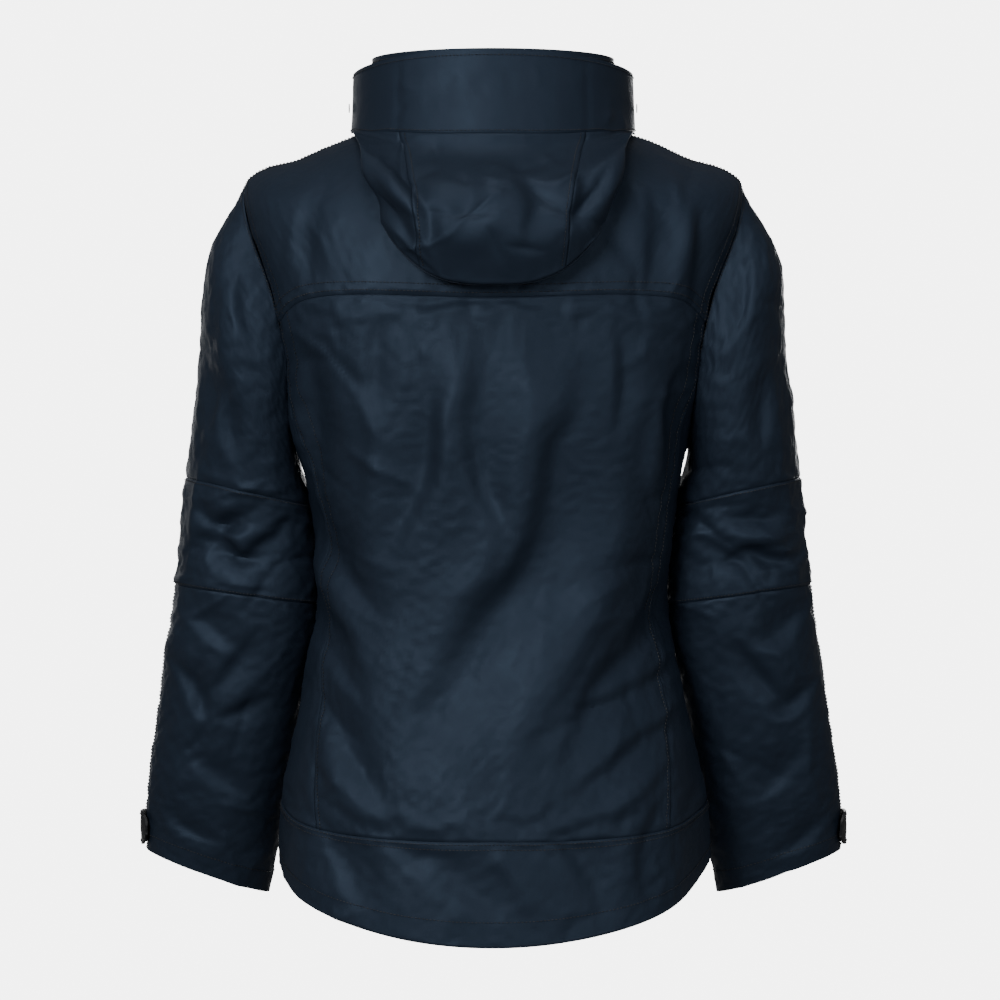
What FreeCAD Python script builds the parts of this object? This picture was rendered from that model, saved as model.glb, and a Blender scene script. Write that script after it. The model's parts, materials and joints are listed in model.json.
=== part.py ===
"""A hooded foul weather jacket, shown as if worn: shell panels, collar, hood, sleeves with bending
elbows, cuff tabs, front zip, hand pockets with zips, and the cord locks at hem and hood.

Millimetres. +Z is up, the back faces +Y, and +X is the wearer's left. The origin is the middle of
the neck opening, level with the nape. Angles round the body count from the back (0) over the
wearer's left side (90) to the front (180).
"""

import FreeCAD, Part
import os
from bisect import bisect_right
from math import asin, atan, cos, degrees, radians, sin

from FreeCAD import Placement, Rotation, Vector

os.makedirs("parts", exist_ok=True)

# ---------------------------------------------------------------- driving dimensions
SHELL = 2.0  # a shell panel with its backing
LINING = 1.2
LINING_GAP = 5.0  # between the shell and the lining
SEAM_GAP = 0.35  # left between two panels at a seam
FRONT_Y = -83.0  # the centre front at the height of the nape
FRONT_LEAN = 0.0826  # how much the centre front comes forward for each mm down
COLLAR_TOP_BACK = 66.0
COLLAR_TOP_FRONT = 68.0
ZIP_OPENING = 6.0  # half the gap between the two front edges
ELBOW_TOP, ELBOW_BOTTOM = 2.93, 3.95  # elbow seams, as stations along the sleeve
CUFF_SEAM = 6.62
CUFF_END = 7.0
HOOD_PIVOT_Y, HOOD_PIVOT_Z = 5.0, 42.0
HOOD_CLEAR = 7.0  # between the hood's under layer and the back of the jacket

# Torso stations from the hem (0) to the neck (9):
# height at the side, at the back and at the front, half width, depth of the back
TORSO = [
    (0, -652, -714, -696, 194, 148),
    (1, -592, -606, -602, 189, 139),
    (2, -510, -514, -512, 170, 127),
    (3, -420, -420, -420, 153, 118),
    (4, -332, -334, -334, 161, 121),
    (5, -250, -252, -252, 180, 127),
    (6, -142, -165, -172, 207, 124),
    (7, -50, -95, -120, 224, 114),
    (8, -20, -45, -86, 166, 102),
    (9, 7, -6, -55, 104, 87),
]
SQUARE = [(0, 0.02), (3, 0.05), (5, 0.05), (7, 0.04), (9, 0.0)]  # fullness at the corners
BUST = [(0, 0.0), (3, 0.01), (4.6, 0.09), (6, 0.05), (7.5, 0.0), (9, 0.0)]

# The armhole's edge, going round from the shoulder over the back: angle and torso station
ARMHOLE = [
    (90, 7.12), (77, 6.85), (69, 6.35), (66, 5.8), (71, 5.3),
    (90, 5.0), (109, 5.3), (115, 5.8), (112, 6.35), (104, 6.85),
]
# The seam between back and side panel, and the one between side and front panel
BACK_SEAM = [(0, 50), (1, 53), (2, 61), (3, 70), (4, 69), (5.3, 71)]
FRONT_SEAM = [(0, 104), (2, 106), (4, 106), (5.3, 109)]
HEM_SEAM = [(0, 0.83), (30, 0.81), (50, 0.8), (75, 0.86), (105, 0.9)]  # angle, station
YOKE_SEAM = [(0, 6.14), (30, 6.12), (50, 6.0), (66, 5.74)]

# Sleeve stations after the armhole (0): centre, half width, half depth, rise of the outer side
SLEEVE = [  # station, centre, half width, half depth, rise of the outer side
    (1, 216, 0, -190, 43, 66, 62),
    (2, 221, -13, -256, 46.5, 70, 38),
    (3, 220, -29, -328, 59, 67, 12),
    (4, 223, -38, -420, 67, 61, 9),
    (5, 238, -50, -510, 65, 54, 8),
    (6, 254, -68, -600, 63, 47, 13),
    (7, 264, -86, -672, 57, 41, 20),
]

# Hood rows from the brim's edge down to the bottom of the pouch:
# half width, y and z at the sides, y and z in the middle
HOOD = [
    (0.0, 126, -8, 53, 97, 62),
    (1.0, 128, -4, 10, 104, -11),
    (1.5, 127, 20, 5, 112, -30),
    (2.0, 122, 68, -12, 152, -62),
    (3.0, 112, 108, -54, 166, -102),
    (4.0, 96, 122, -92, 146, -145),
]
HOOD_SEAM = [(0, 42), (1, 40), (2, 36), (3, 37), (4, 41)]  # the side panels' inner edge, as an angle
HOOD_END = [(1, 88), (1.5, 78), (2, 72), (3, 84), (4, 89)]  # and their outer edge


# ---------------------------------------------------------------- helpers
def curve(points):
    """A smooth function through (position, value) pairs that doesn't go past the ends."""
    xs, ys = [p[0] for p in points], [p[1] for p in points]
    last = len(xs) - 1
    slope = []
    for i in range(len(xs)):
        a, b = max(i - 1, 0), min(i + 1, last)
        slope.append((ys[b] - ys[a]) / (xs[b] - xs[a]))

    def at(x):
        x = min(max(x, xs[0]), xs[-1])
        i = min(bisect_right(xs, x), last) - 1
        h = xs[i + 1] - xs[i]
        t = (x - xs[i]) / h
        return (
            (2 * t**3 - 3 * t**2 + 1) * ys[i]
            + (t**3 - 2 * t**2 + t) * h * slope[i]
            + (3 * t**2 - 2 * t**3) * ys[i + 1]
            + (t**3 - t**2) * h * slope[i + 1]
        )

    return at


def columns(rows):
    """One smooth function for each column of a table whose first column is the station."""
    return [curve([(r[0], r[k]) for r in rows]) for k in range(1, len(rows[0]))]


def front_y(z):
    return FRONT_Y + FRONT_LEAN * z


def normal_of(surface, u, v, du=0.05, dv=0.01):
    across = surface(u + du, v) - surface(u - du, v)
    along = surface(u, v + dv) - surface(u, v - dv)
    n = across.cross(along)
    n.normalize()
    return n


def solid_between(outer, inner):
    """The closed solid between two grids of points."""
    made = []
    for grid in (outer, inner):
        surface = Part.BSplineSurface()
        surface.interpolate(grid)
        made.append(surface)
    u0, u1, v0, v1 = made[0].bounds()
    a0, a1, b0, b1 = made[1].bounds()
    pairs = [
        (made[0].uIso(u0), made[1].uIso(a0)),
        (made[0].uIso(u1), made[1].uIso(a1)),
        (made[0].vIso(v0), made[1].vIso(b0)),
        (made[0].vIso(v1), made[1].vIso(b1)),
    ]
    faces = [m.toShape() for m in made]
    faces += [Part.makeRuledSurface(a.toShape(), b.toShape()) for a, b in pairs]
    shell = Part.makeShell(faces)
    shell.sewShape()
    solid = Part.makeSolid(shell)
    if solid.Volume < 0:
        solid.reverse()
    return solid


def patch(surface, left, right, low, high, top=0.0, thick=SHELL, cells=(14, 14), gap=SEAM_GAP):
    """A shell panel on a surface, between two edges left(v), right(v) and two ends low(u), high(u).
    top is how far its outer face lies outside the surface."""

    def where(s, t):
        u, v = (left(0) + right(0)) / 2, 0.5
        for _ in range(12):
            lo, hi = low(u), high(u)
            v = lo + (hi - lo) * t
            u = left(v) + (right(v) - left(v)) * s
        return u, v

    steps = [surface(*where(k / 8, 0.5)) for k in range(9)]
    wide = sum((b - a).Length for a, b in zip(steps, steps[1:]))
    tall = (surface(*where(0.5, 0.0)) - surface(*where(0.5, 1.0))).Length
    es, et = gap / max(wide, 1.0), gap / max(tall, 1.0)
    outer, inner = [], []
    for i in range(cells[0] + 1):
        row_out, row_in = [], []
        for j in range(cells[1] + 1):
            s = es + (1 - 2 * es) * i / cells[0]
            t = et + (1 - 2 * et) * j / cells[1]
            u, v = where(s, t)
            p, n = surface(u, v), outward(surface, u, v)
            row_out.append(p + n * top)
            row_in.append(p + n * (top - thick))
        outer.append(row_out)
        inner.append(row_in)
    return solid_between(outer, inner)


def outward(surface, u, v):
    """The unit normal that points away from the surface's own axis."""
    n = normal_of(surface, u, v)
    return n if n.dot(surface(u, v) - surface.middle(v)) > 0 else n * -1


def flat(value):
    return lambda _: value


def mirror_x(shape):
    return shape.mirror(Vector(0, 0, 0), Vector(1, 0, 0))


def save(node, *solids):
    """Writes one node. Volume is in cubic centimetres."""
    shape = solids[0] if len(solids) == 1 else Part.makeCompound(list(solids))
    bad = [s for s in shape.Solids if not s.isValid() or s.Volume <= 0]
    print(f"{node:28s} {len(shape.Solids)} solids {sum(s.Volume for s in shape.Solids) / 1000:8.2f} cc",
          "INVALID" if bad or not shape.Solids else "")
    shape.exportStep(f"parts/{node}.step")
    return shape


# ---------------------------------------------------------------- the three base surfaces
class Torso:
    """The outside of the body, from the hem to the neck."""

    def __init__(self):
        self.side, self.back, self.front, self.width, self.depth = columns(TORSO)
        self.square, self.bust = curve(SQUARE), curve(BUST)

    def height(self, angle, v):
        c = cos(radians(angle))
        share = 1.25 * c * c / (abs(c) + 0.25)
        far = self.back(v) if c > 0 else self.front(v)
        return self.side(v) + (far - self.side(v)) * share

    def middle(self, v):
        return Vector(0, 0, min(self.side(v), -60))

    def __call__(self, angle, v):
        s, c = sin(radians(angle)), cos(radians(angle))
        z = self.height(angle, v)
        full = 1 + self.square(v) * sin(radians(2 * angle)) ** 2
        if c > 0:
            y = self.depth(v) * c * full
        else:
            chest = self.bust(v) * sin(radians(2 * angle)) ** 2
            y = -front_y(self.front(v)) * c * (full + chest)
        return Vector(self.width(v) * s * full, y, z)


class Sleeve:
    """The outside of the left sleeve. Angles count from its outer side (0) over the back (90)."""

    def __init__(self, torso):
        self.torso = torso
        count = len(ARMHOLE)
        loop = [(360.0 * i / count, *ARMHOLE[i % count]) for i in range(-2, count + 3)]
        self.hole = columns(loop)
        self.cols = columns(SLEEVE)

    def edge(self, angle):
        """The armhole's edge, as angle and station on the torso."""
        return self.hole[0](angle % 360), self.hole[1](angle % 360)

    def ring(self, angle, k):
        c, s = cos(radians(angle)), sin(radians(angle))
        x, y, z, wide, deep, rise = (col(k) for col in self.cols)
        return Vector(x + wide * c, y + deep * s, z + rise * c)

    def middle(self, v):
        if v < 1:
            return Vector(190, 0, -150) * (1 - v) + Vector(*[c(1) for c in self.cols[:3]]) * v
        return Vector(*[c(v) for c in self.cols[:3]])

    def __call__(self, angle, v):
        if v >= 1:
            return self.ring(angle, v)
        start = self.torso(*self.edge(angle))
        first = self.ring(angle, 1.0)
        slope = (self.ring(angle, 1.01) - first) * 100
        h = v
        return (
            start * (2 * h**3 - 3 * h**2 + 1)
            + (first - start) * (h**3 - 2 * h**2 + h) * 1.1
            + first * (3 * h**2 - 2 * h**3)
            + slope * (h**3 - h**2)
        )


class Collar:
    """The outside of the stand collar: station 0 at the neck seam and 1 at its top."""

    def __init__(self, torso):
        self.torso = torso

    def middle(self, v):
        return Vector(0, 0, 20)

    def __call__(self, angle, v):
        base = self.torso(angle, 9)
        s, c = sin(radians(angle)), cos(radians(angle))
        top_z = COLLAR_TOP_BACK if c > 0 else COLLAR_TOP_BACK + (COLLAR_TOP_FRONT - COLLAR_TOP_BACK) * c * c
        z = base.z + (top_z - base.z) * v
        y = (87 - 5 * v) * c if c > 0 else -front_y(z + (COLLAR_TOP_FRONT - top_z) * v) * c
        return Vector((104 + 5 * v) * s, y, z)


class Hood:
    """The hood's outer layer. Angles run from -90 to 90 across it, and rows from brim to bottom."""

    def __init__(self):
        self.cols = columns(HOOD)

    def middle(self, v):
        return Vector(0, 0, self.cols[4](v) - 60)

    def __call__(self, angle, v):
        wide, side_y, side_z, mid_y, mid_z = (col(v) for col in self.cols)
        s, c = sin(radians(angle)), cos(radians(angle))
        z = mid_z + (side_z - mid_z) * abs(s) ** 3
        return Vector(wide * s, side_y + (mid_y - side_y) * c, z)


class HoodUnder:
    """The hood's under layer, which lies on the jacket's back: row 0 at the bottom, 1 at the neck."""

    def __init__(self, hood, torso):
        self.hood, self.torso = hood, torso

    def middle(self, v):
        return Vector(0, 0, -60)

    def on_back(self, x, z):
        """How far back the torso reaches at a place, by stepping up its stations."""
        best = None
        for k in range(48, 91):
            v = k / 10
            wide = self.torso.width(v)
            if abs(x) < wide * 0.98:
                angle = degrees(asin(x / wide))
                p = self.torso(angle, v)
                if best is None or abs(p.z - z) < abs(best.z - z):
                    best = p
        return best.y

    def __call__(self, angle, v):
        low = self.hood(angle, 4.0) - Vector(0, 4.5, 0)
        s = sin(radians(angle))
        top = Vector(88 * s, 50 + 43 * cos(radians(angle)), 12 - 10 * cos(radians(angle)))
        p = low * (1 - v) + top * v
        edge = 4 * v * (1 - v)
        y = p.y * (1 - edge) + (self.on_back(p.x, p.z) + HOOD_CLEAR + SHELL) * edge
        return Vector(p.x, max(y, self.on_back(p.x, p.z) + HOOD_CLEAR + SHELL), p.z)


torso = Torso()
sleeve = Sleeve(torso)
collar = Collar(torso)
hood = Hood()
hood_under = HoodUnder(hood, torso)


# ---------------------------------------------------------------- edges of the panels
back_seam, front_seam = curve(BACK_SEAM), curve(FRONT_SEAM)
hem_seam, yoke_seam = curve(HEM_SEAM), curve(YOKE_SEAM)
SHOULDER_LINE = [(sleeve.edge(0)[1] + 0.01, 90), (9, 90)]
hole_back = curve([(sleeve.edge(d)[1], sleeve.edge(d)[0]) for d in range(180, -1, -6)] + SHOULDER_LINE)
hole_front = curve([(sleeve.edge(d)[1], sleeve.edge(d)[0]) for d in range(180, 361, 6)] + SHOULDER_LINE)
hole_low = curve([(sleeve.edge(d)[0], sleeve.edge(d)[1]) for d in range(144, 217, 6)])
LOW_HOLE = sleeve.edge(144)[1]


def back_edge(v):
    return back_seam(v) if v < LOW_HOLE else hole_back(v)


def front_edge(v):
    return front_seam(v) if v < LOW_HOLE else hole_front(v)


def zip_edge(v):
    """The angle where the front panel stops beside the zip."""
    return 180 - degrees(asin(ZIP_OPENING / torso.width(v)))


# ---------------------------------------------------------------- shell, lining and collar
def shell_panels():
    def hem(a):
        return hem_seam(abs(a))

    def yoke(a):
        return yoke_seam(abs(a))

    zero, neck = flat(0), flat(9)
    save("back_hem_panel", patch(torso, lambda v: -front_seam(v), front_seam, zero, hem, cells=(36, 4)))
    save("back_panel", patch(torso, lambda v: -back_edge(v), back_edge, hem, yoke, cells=(20, 26)))
    save("back_yoke", patch(torso, lambda v: -hole_back(v), hole_back, yoke, neck, cells=(20, 22)))
    side = patch(torso, back_seam, front_seam, hem, hole_low, cells=(8, 22))
    save("side_panel_left", side)
    save("side_panel_right", mirror_x(side))
    front = patch(torso, front_edge, zip_edge, zero, neck, cells=(14, 44))
    front = front.cut(pocket_slot(0))
    save("front_panel_left", front)
    save("front_panel_right", mirror_x(front))
    facing = patch(torso, flat(-175), flat(175), flat(0.02), flat(0.34), top=-SHELL - 0.3, thick=1.0,
                   cells=(60, 3))
    save("hem_facing", facing)


def linings():
    top = -SHELL - LINING_GAP

    def back(v):
        return 89 if v < 5.0 else min(89, hole_back(v) - 2)

    def front(v):
        return 91 if v < 5.0 else max(91, hole_front(v) + 2)

    low, high = flat(0.5), flat(8.9)
    save("lining_back", patch(torso, lambda v: -back(v), back, low, high, top, LINING, (20, 44)))
    made = patch(torso, front, lambda v: 180 - degrees(asin(28 / torso.width(v))), low, high, top,
                 LINING, (12, 44))
    save("lining_front_left", made)
    save("lining_front_right", mirror_x(made))


def collar_parts():
    edge = 180 - degrees(asin(ZIP_OPENING / 106))
    save("collar_outer", patch(collar, flat(-edge), flat(edge), flat(0), flat(1), cells=(40, 4)))
    edge = 180 - degrees(asin(25 / 106))
    save("collar_lining", patch(collar, flat(-edge), flat(edge), flat(0.02), flat(0.98), -SHELL - 0.4,
                                2.6, (40, 4)))
    loop = Part.makeCylinder(24, 7, Vector(0, 70, 14), Vector(0, 1, 0))
    loop = loop.cut(Part.makeCylinder(22.4, 7, Vector(0, 70, 14), Vector(0, 1, 0)))
    save("hanger_loop", loop.cut(Part.makeBox(60, 10, 40, Vector(-30, 68, 14))))


# ---------------------------------------------------------------- the front zip
ZIP_TILT = -degrees(atan(FRONT_LEAN))
ZIP_LOW, ZIP_HIGH = -690.0, 62.0
ZIP_LENGTH = (ZIP_HIGH - ZIP_LOW) / cos(radians(ZIP_TILT))
PITCH = 4.5
BRIDGE_Y, BRIDGE_UP = -4.2, 5.0  # where a puller hangs, from its slider's own origin


def on_zip(shape, along=0.0):
    """Turns a shape built upright round the Z axis onto the zip's line, along it from the bottom."""
    turn = Rotation(Vector(1, 0, 0), ZIP_TILT)
    up = turn.multVec(Vector(0, 0, 1))
    base = Vector(0, front_y(ZIP_LOW), ZIP_LOW)
    shape.Placement = Placement(base + up * along, turn).multiply(shape.Placement)
    return shape


def comb(length, side, depth, y):
    """Half a chain: a strip with teeth that reach across between those of the other half."""
    count = int(length / PITCH) - 1
    start = 1.0 if side > 0 else 1.0 + PITCH / 2
    points = [(3.4, 0.2)]
    for i in range(count):
        z = start + i * PITCH
        points += [(2.4, z - 0.6), (-1.1, z), (-1.1, z + 1.7), (2.4, z + 2.3)]
    points += [(3.4, length - 0.2)]
    wire = Part.makePolygon([Vector(side * x, y, z) for x, z in points + points[:1]])
    return Part.Face(wire).extrude(Vector(0, depth, 0))


def slider(width, height):
    """Two plates joined by a wedge at the top, with a bridge for the puller."""
    plate = Part.makeBox(width, 1.2, height, Vector(-width / 2, -1.6, 0))
    under = Part.makeBox(width, 1.2, height, Vector(-width / 2, 4.2, 0))
    wedge = Part.makeBox(2.6, 5.0, 3.0, Vector(-1.3, -0.8, height - 3.2))
    posts = [Part.makeBox(1.6, 2.8, 1.6, Vector(-0.8, -4.0, z)) for z in (1.0, height - 2.6)]
    bridge = Part.makeBox(1.6, 1.2, height - 2.0, Vector(-0.8, -4.8, 1.0))
    return plate.multiFuse([under, wedge, bridge] + posts)


def puller(length):
    """A flat tab whose two cheeks straddle the slider's bridge, hanging in front of the slider.
    Its hinge is at the origin."""
    tab = Part.makeBox(7.0, 1.6, length, Vector(-3.5, -3.2, -length - 3.0))
    tab = tab.makeFillet(0.6, tab.Edges)
    block = Part.makeBox(5.2, 2.0, 4.4, Vector(-2.6, -3.2, -6.0))
    cheeks = [Part.makeBox(1.4, 2.4, 4.0, Vector(x, -1.4, -2.2)) for x in (-2.6, 1.2)]
    return tab.multiFuse([block] + cheeks)


def front_zip():
    for side, name in ((1, "left"), (-1, "right")):
        tape = Part.makeBox(9.0, 0.7, ZIP_LENGTH, Vector(3.7 if side > 0 else -12.7, 3.1, 0))
        save(f"zip_tape_{name}", on_zip(tape))
        save(f"zip_teeth_{name}", on_zip(comb(ZIP_LENGTH - 16, side, 2.2, 0.6), 9.0))
    stop = Part.makeBox(7.0, 3.0, 8.0, Vector(-3.5, 0.0, 0))
    save("zip_bottom_stop", on_zip(stop))
    save("zip_slider", on_zip(slider(10.0, 11.0), ZIP_LENGTH - 13.5))
    tab = puller(34.0)
    tab.translate(Vector(0, BRIDGE_Y, 0))
    save("zip_puller", on_zip(tab, ZIP_LENGTH - 13.5 + BRIDGE_UP))
    placket = Part.makeBox(42.0, 1.4, ZIP_LENGTH - 26, Vector(-21.0, 6.4, 0))
    save("storm_placket", on_zip(placket, 16.0))


# ---------------------------------------------------------------- hand pockets
POCKET_LOW, POCKET_HIGH = (139, 1.25), (135, 2.55)  # angle and station of the zip's ends


def on_pocket(shape, side, along=0.0):
    """Turns a shape built upright round the Z axis onto the pocket's zip line."""
    low, high = torso(*POCKET_LOW), torso(*POCKET_HIGH)
    up = (high - low).normalize()
    n = outward(torso, 137, 1.9)
    n = (n - up * n.dot(up)).normalize()
    across = (n * -1).cross(up)
    turn = Placement(FreeCAD.Matrix(
        across.x, -n.x, up.x, low.x + up.x * along,
        across.y, -n.y, up.y, low.y + up.y * along,
        across.z, -n.z, up.z, low.z + up.z * along,
        0, 0, 0, 1))
    shape.Placement = turn.multiply(shape.Placement)
    return mirror_x(shape) if side < 0 else shape


def pocket_length():
    return (torso(*POCKET_HIGH) - torso(*POCKET_LOW)).Length


def pocket_slot(side):
    return on_pocket(Part.makeBox(12.0, 30.0, pocket_length(), Vector(-6.0, -12.0, 0)), side)


def hand_pockets():
    long = pocket_length()
    for side, name in ((1, "left"), (-1, "right")):
        tapes = [Part.makeBox(2.0, 0.8, long - 1, Vector(x, 1.2, 0.5)) for x in (-5.6, 3.6)]
        tapes += [comb(long - 14, s, 1.8, 0.7) for s in (1, -1)]
        for t in tapes[2:]:
            t.translate(Vector(0, 0, 2.0))
        save(f"pocket_zip_{name}", *[on_pocket(t, side) for t in tapes])
        save(f"pocket_slider_{name}", on_pocket(slider(10.0, 10.0), side, long - 12.5))
        tab = puller(26.0)
        tab.translate(Vector(0, BRIDGE_Y, 0))
        save(f"pocket_puller_{name}", on_pocket(tab, side, long - 12.5 + BRIDGE_UP))
        bag = patch(torso, flat(118), flat(133), flat(0.75), flat(2.7), -SHELL - 1.0, 2.2, (8, 10))
        save(f"pocket_bag_{name}", mirror_x(bag) if side < 0 else bag)


# ---------------------------------------------------------------- sleeves
def sleeves():
    rows = [("upper", 0.0, ELBOW_TOP, 26), ("elbow", ELBOW_TOP, ELBOW_BOTTOM, 8),
            ("lower", ELBOW_BOTTOM, CUFF_END, 16)]
    for side, name in ((1, "left"), (-1, "right")):
        def write(node, solid):
            save(f"{node}_{name}", mirror_x(solid) if side < 0 else solid)

        for row, low, high, n in rows:
            start = low + (0.02 if low == 0 else 0)
            write(f"{row}_sleeve_back" if row != "elbow" else "elbow_panel_back",
                  patch(sleeve, flat(0), flat(180), flat(start), flat(high), cells=(14, n)))
            write(f"{row}_sleeve_front" if row != "elbow" else "elbow_panel_front",
                  patch(sleeve, flat(180), flat(360), flat(start), flat(high), cells=(14, n)))
        write("cuff_facing", patch(sleeve, flat(-176), flat(176), flat(CUFF_SEAM), flat(CUFF_END),
                                   top=-SHELL - 0.3, thick=1.0, cells=(32, 3)))
        write("cuff_loop_patch", patch(sleeve, flat(-78), flat(6), flat(6.48), flat(6.84), top=1.5,
                                       thick=1.2, cells=(10, 3)))

        def tab_low(a):
            return 6.42 + 0.16 * max(0, (a - 8) / 17) ** 3

        def tab_high(a):
            return 6.92 - 0.16 * max(0, (a - 8) / 17) ** 3

        write("cuff_tab", patch(sleeve, flat(-84), flat(25), tab_low, tab_high, top=5.6, thick=2.2,
                                cells=(14, 5)))
        write("cuff_hook_patch", patch(sleeve, flat(-40), flat(4), flat(6.5), flat(6.82), top=3.2,
                                       thick=1.2, cells=(8, 3)))


# ---------------------------------------------------------------- hood
def hoods():
    seam = curve(HOOD_SEAM)
    band = patch(hood, flat(-90), flat(90), flat(0), flat(1.0), thick=3.0, cells=(30, 4))
    save("hood_brim", band)
    save("hood_centre_panel", patch(hood, lambda v: -seam(v), seam, flat(1.0), flat(4.0),
                                    thick=1.4, cells=(16, 16)))
    outer_edge = curve(HOOD_END)
    side = [patch(hood, seam, outer_edge, flat(low), flat(high), thick=1.4, cells=(12, 16))
            for low, high in ((1.0, 2.0), (2.0, 4.0))]
    save("hood_side_panel_left", *side)
    save("hood_side_panel_right", *[mirror_x(part) for part in side])
    save("hood_under_layer", patch(hood_under, flat(-80), flat(80), flat(0.0), flat(1.0), thick=1.2,
                                   cells=(26, 14)))
    locks, eyes = [], []
    for x in (119, -119):
        ball = Part.makeSphere(3.0, Vector(x, -9, 12))
        barrel = Part.makeCylinder(3.4, 8, Vector(x, -9, 16), Vector(0, 0, 1))
        locks += [barrel, ball]
        ring = Part.makeCylinder(4.0, 0.8, Vector(128.8 if x > 0 else -129.6, 4, 22), Vector(1, 0, 0))
        ring = ring.cut(Part.makeCylinder(2.0, 2, Vector(128 if x > 0 else -130, 4, 22), Vector(1, 0, 0)))
        eyes.append(ring)
    save("hood_cord_locks", *locks)
    save("hood_eyelets", *eyes)


if __name__ == "__main__":
    shell_panels()
    linings()
    collar_parts()
    front_zip()
    hand_pockets()
    sleeves()
    hoods()
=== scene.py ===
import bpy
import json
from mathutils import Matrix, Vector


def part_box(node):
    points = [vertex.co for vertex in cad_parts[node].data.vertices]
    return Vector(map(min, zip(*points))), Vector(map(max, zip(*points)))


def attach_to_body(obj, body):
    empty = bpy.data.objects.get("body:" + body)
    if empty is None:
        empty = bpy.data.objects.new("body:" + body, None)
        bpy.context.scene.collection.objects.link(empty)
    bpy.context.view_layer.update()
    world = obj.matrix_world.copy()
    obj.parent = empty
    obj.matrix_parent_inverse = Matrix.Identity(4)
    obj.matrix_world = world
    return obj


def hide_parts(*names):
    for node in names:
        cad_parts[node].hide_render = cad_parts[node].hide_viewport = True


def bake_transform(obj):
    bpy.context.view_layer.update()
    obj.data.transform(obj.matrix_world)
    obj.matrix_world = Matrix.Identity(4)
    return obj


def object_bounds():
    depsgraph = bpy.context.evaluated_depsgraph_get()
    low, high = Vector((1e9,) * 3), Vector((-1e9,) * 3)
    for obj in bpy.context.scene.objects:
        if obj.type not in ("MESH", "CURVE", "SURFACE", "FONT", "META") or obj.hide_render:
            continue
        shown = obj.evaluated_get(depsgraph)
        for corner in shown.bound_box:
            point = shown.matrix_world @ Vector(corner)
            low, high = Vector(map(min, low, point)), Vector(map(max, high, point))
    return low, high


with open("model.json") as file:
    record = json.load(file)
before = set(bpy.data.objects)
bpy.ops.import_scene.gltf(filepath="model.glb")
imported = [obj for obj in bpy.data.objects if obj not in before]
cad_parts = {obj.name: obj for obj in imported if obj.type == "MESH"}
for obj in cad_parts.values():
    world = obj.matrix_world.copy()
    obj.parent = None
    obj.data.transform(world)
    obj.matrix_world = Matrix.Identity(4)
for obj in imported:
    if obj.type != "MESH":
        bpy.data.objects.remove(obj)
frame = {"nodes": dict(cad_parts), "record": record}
CAD_BOX = [[float(c) for c in corner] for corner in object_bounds()]

# A foul weather jacket, shaped as if worn. Lengths below are in millimetres, in the CAD model's frame: +Z up,
# +Y to the wearer's back, +X to the wearer's left. The shell's panels are sheets on the CAD model's surfaces,
# with folds, seams and stitches added. Only the hood's sides and its under layer's top differ from the CAD
# model, by up to 7 mm, so that the brim's lower edge runs straight.

import json
import math

import bpy
import numpy as np
from mathutils import Vector

# ---------------------------------------------------------------- surfaces
FRONT_Y, FRONT_LEAN = -83.0, 0.0826
ZIP_OPENING = 6.0
COLLAR_TOP_BACK, COLLAR_TOP_FRONT = 66.0, 68.0
ELBOW_TOP, ELBOW_BOTTOM = 2.93, 3.95
CUFF_SEAM, CUFF_END = 6.62, 7.0
HOOD_CLEAR = 7.0

TORSO = [  # station, height at side, back and front, half width, depth of the back
    (0, -652, -714, -696, 194, 148),
    (1, -592, -606, -602, 189, 139),
    (2, -510, -514, -512, 170, 127),
    (3, -420, -420, -420, 153, 118),
    (4, -332, -334, -334, 161, 121),
    (5, -250, -252, -252, 180, 127),
    (6, -142, -165, -172, 207, 124),
    (7, -50, -95, -120, 224, 114),
    (8, -20, -45, -86, 166, 102),
    (9, 7, -6, -55, 104, 87),
]
SQUARE = [(0, 0.02), (3, 0.05), (5, 0.05), (7, 0.04), (9, 0.0)]
BUST = [(0, 0.0), (3, 0.01), (4.6, 0.09), (6, 0.05), (7.5, 0.0), (9, 0.0)]
ARMHOLE = [
    (90, 7.12), (77, 6.85), (69, 6.35), (66, 5.8), (71, 5.3),
    (90, 5.0), (109, 5.3), (115, 5.8), (112, 6.35), (104, 6.85),
]
BACK_SEAM = [(0, 50), (1, 53), (2, 61), (3, 70), (4, 69), (5.3, 71)]
FRONT_SEAM = [(0, 104), (2, 106), (4, 106), (5.3, 109)]
HEM_SEAM = [(0, 0.83), (30, 0.81), (50, 0.8), (75, 0.86), (105, 0.9)]
YOKE_SEAM = [(0, 6.14), (30, 6.12), (50, 6.0), (66, 5.74)]
SLEEVE = [  # station, centre, half width, half depth, rise of the outer side
    (1, 216, 0, -190, 43, 66, 62),
    (2, 221, -13, -256, 46.5, 70, 38),
    (3, 220, -29, -328, 59, 67, 12),
    (4, 223, -38, -420, 67, 61, 9),
    (5, 238, -50, -510, 65, 54, 8),
    (6, 254, -68, -600, 63, 47, 13),
    (7, 264, -86, -672, 57, 41, 20),
]
HOOD = [  # row, half width, side y and z, middle y and z
    (0.0, 126, -8, 53, 97, 62),
    (1.0, 128, -4, 3, 104, -11),
    (1.5, 127, 22, -2, 112, -30),
    (2.0, 122, 68, -16, 152, -62),
    (3.0, 112, 108, -54, 166, -102),
    (4.0, 96, 122, -92, 146, -145),
]
HOOD_SEAM = [(0, 42), (1, 40), (2, 36), (3, 37), (4, 41)]
HOOD_END = [(1, 88), (1.5, 78), (2, 72), (3, 84), (4, 89)]


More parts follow.
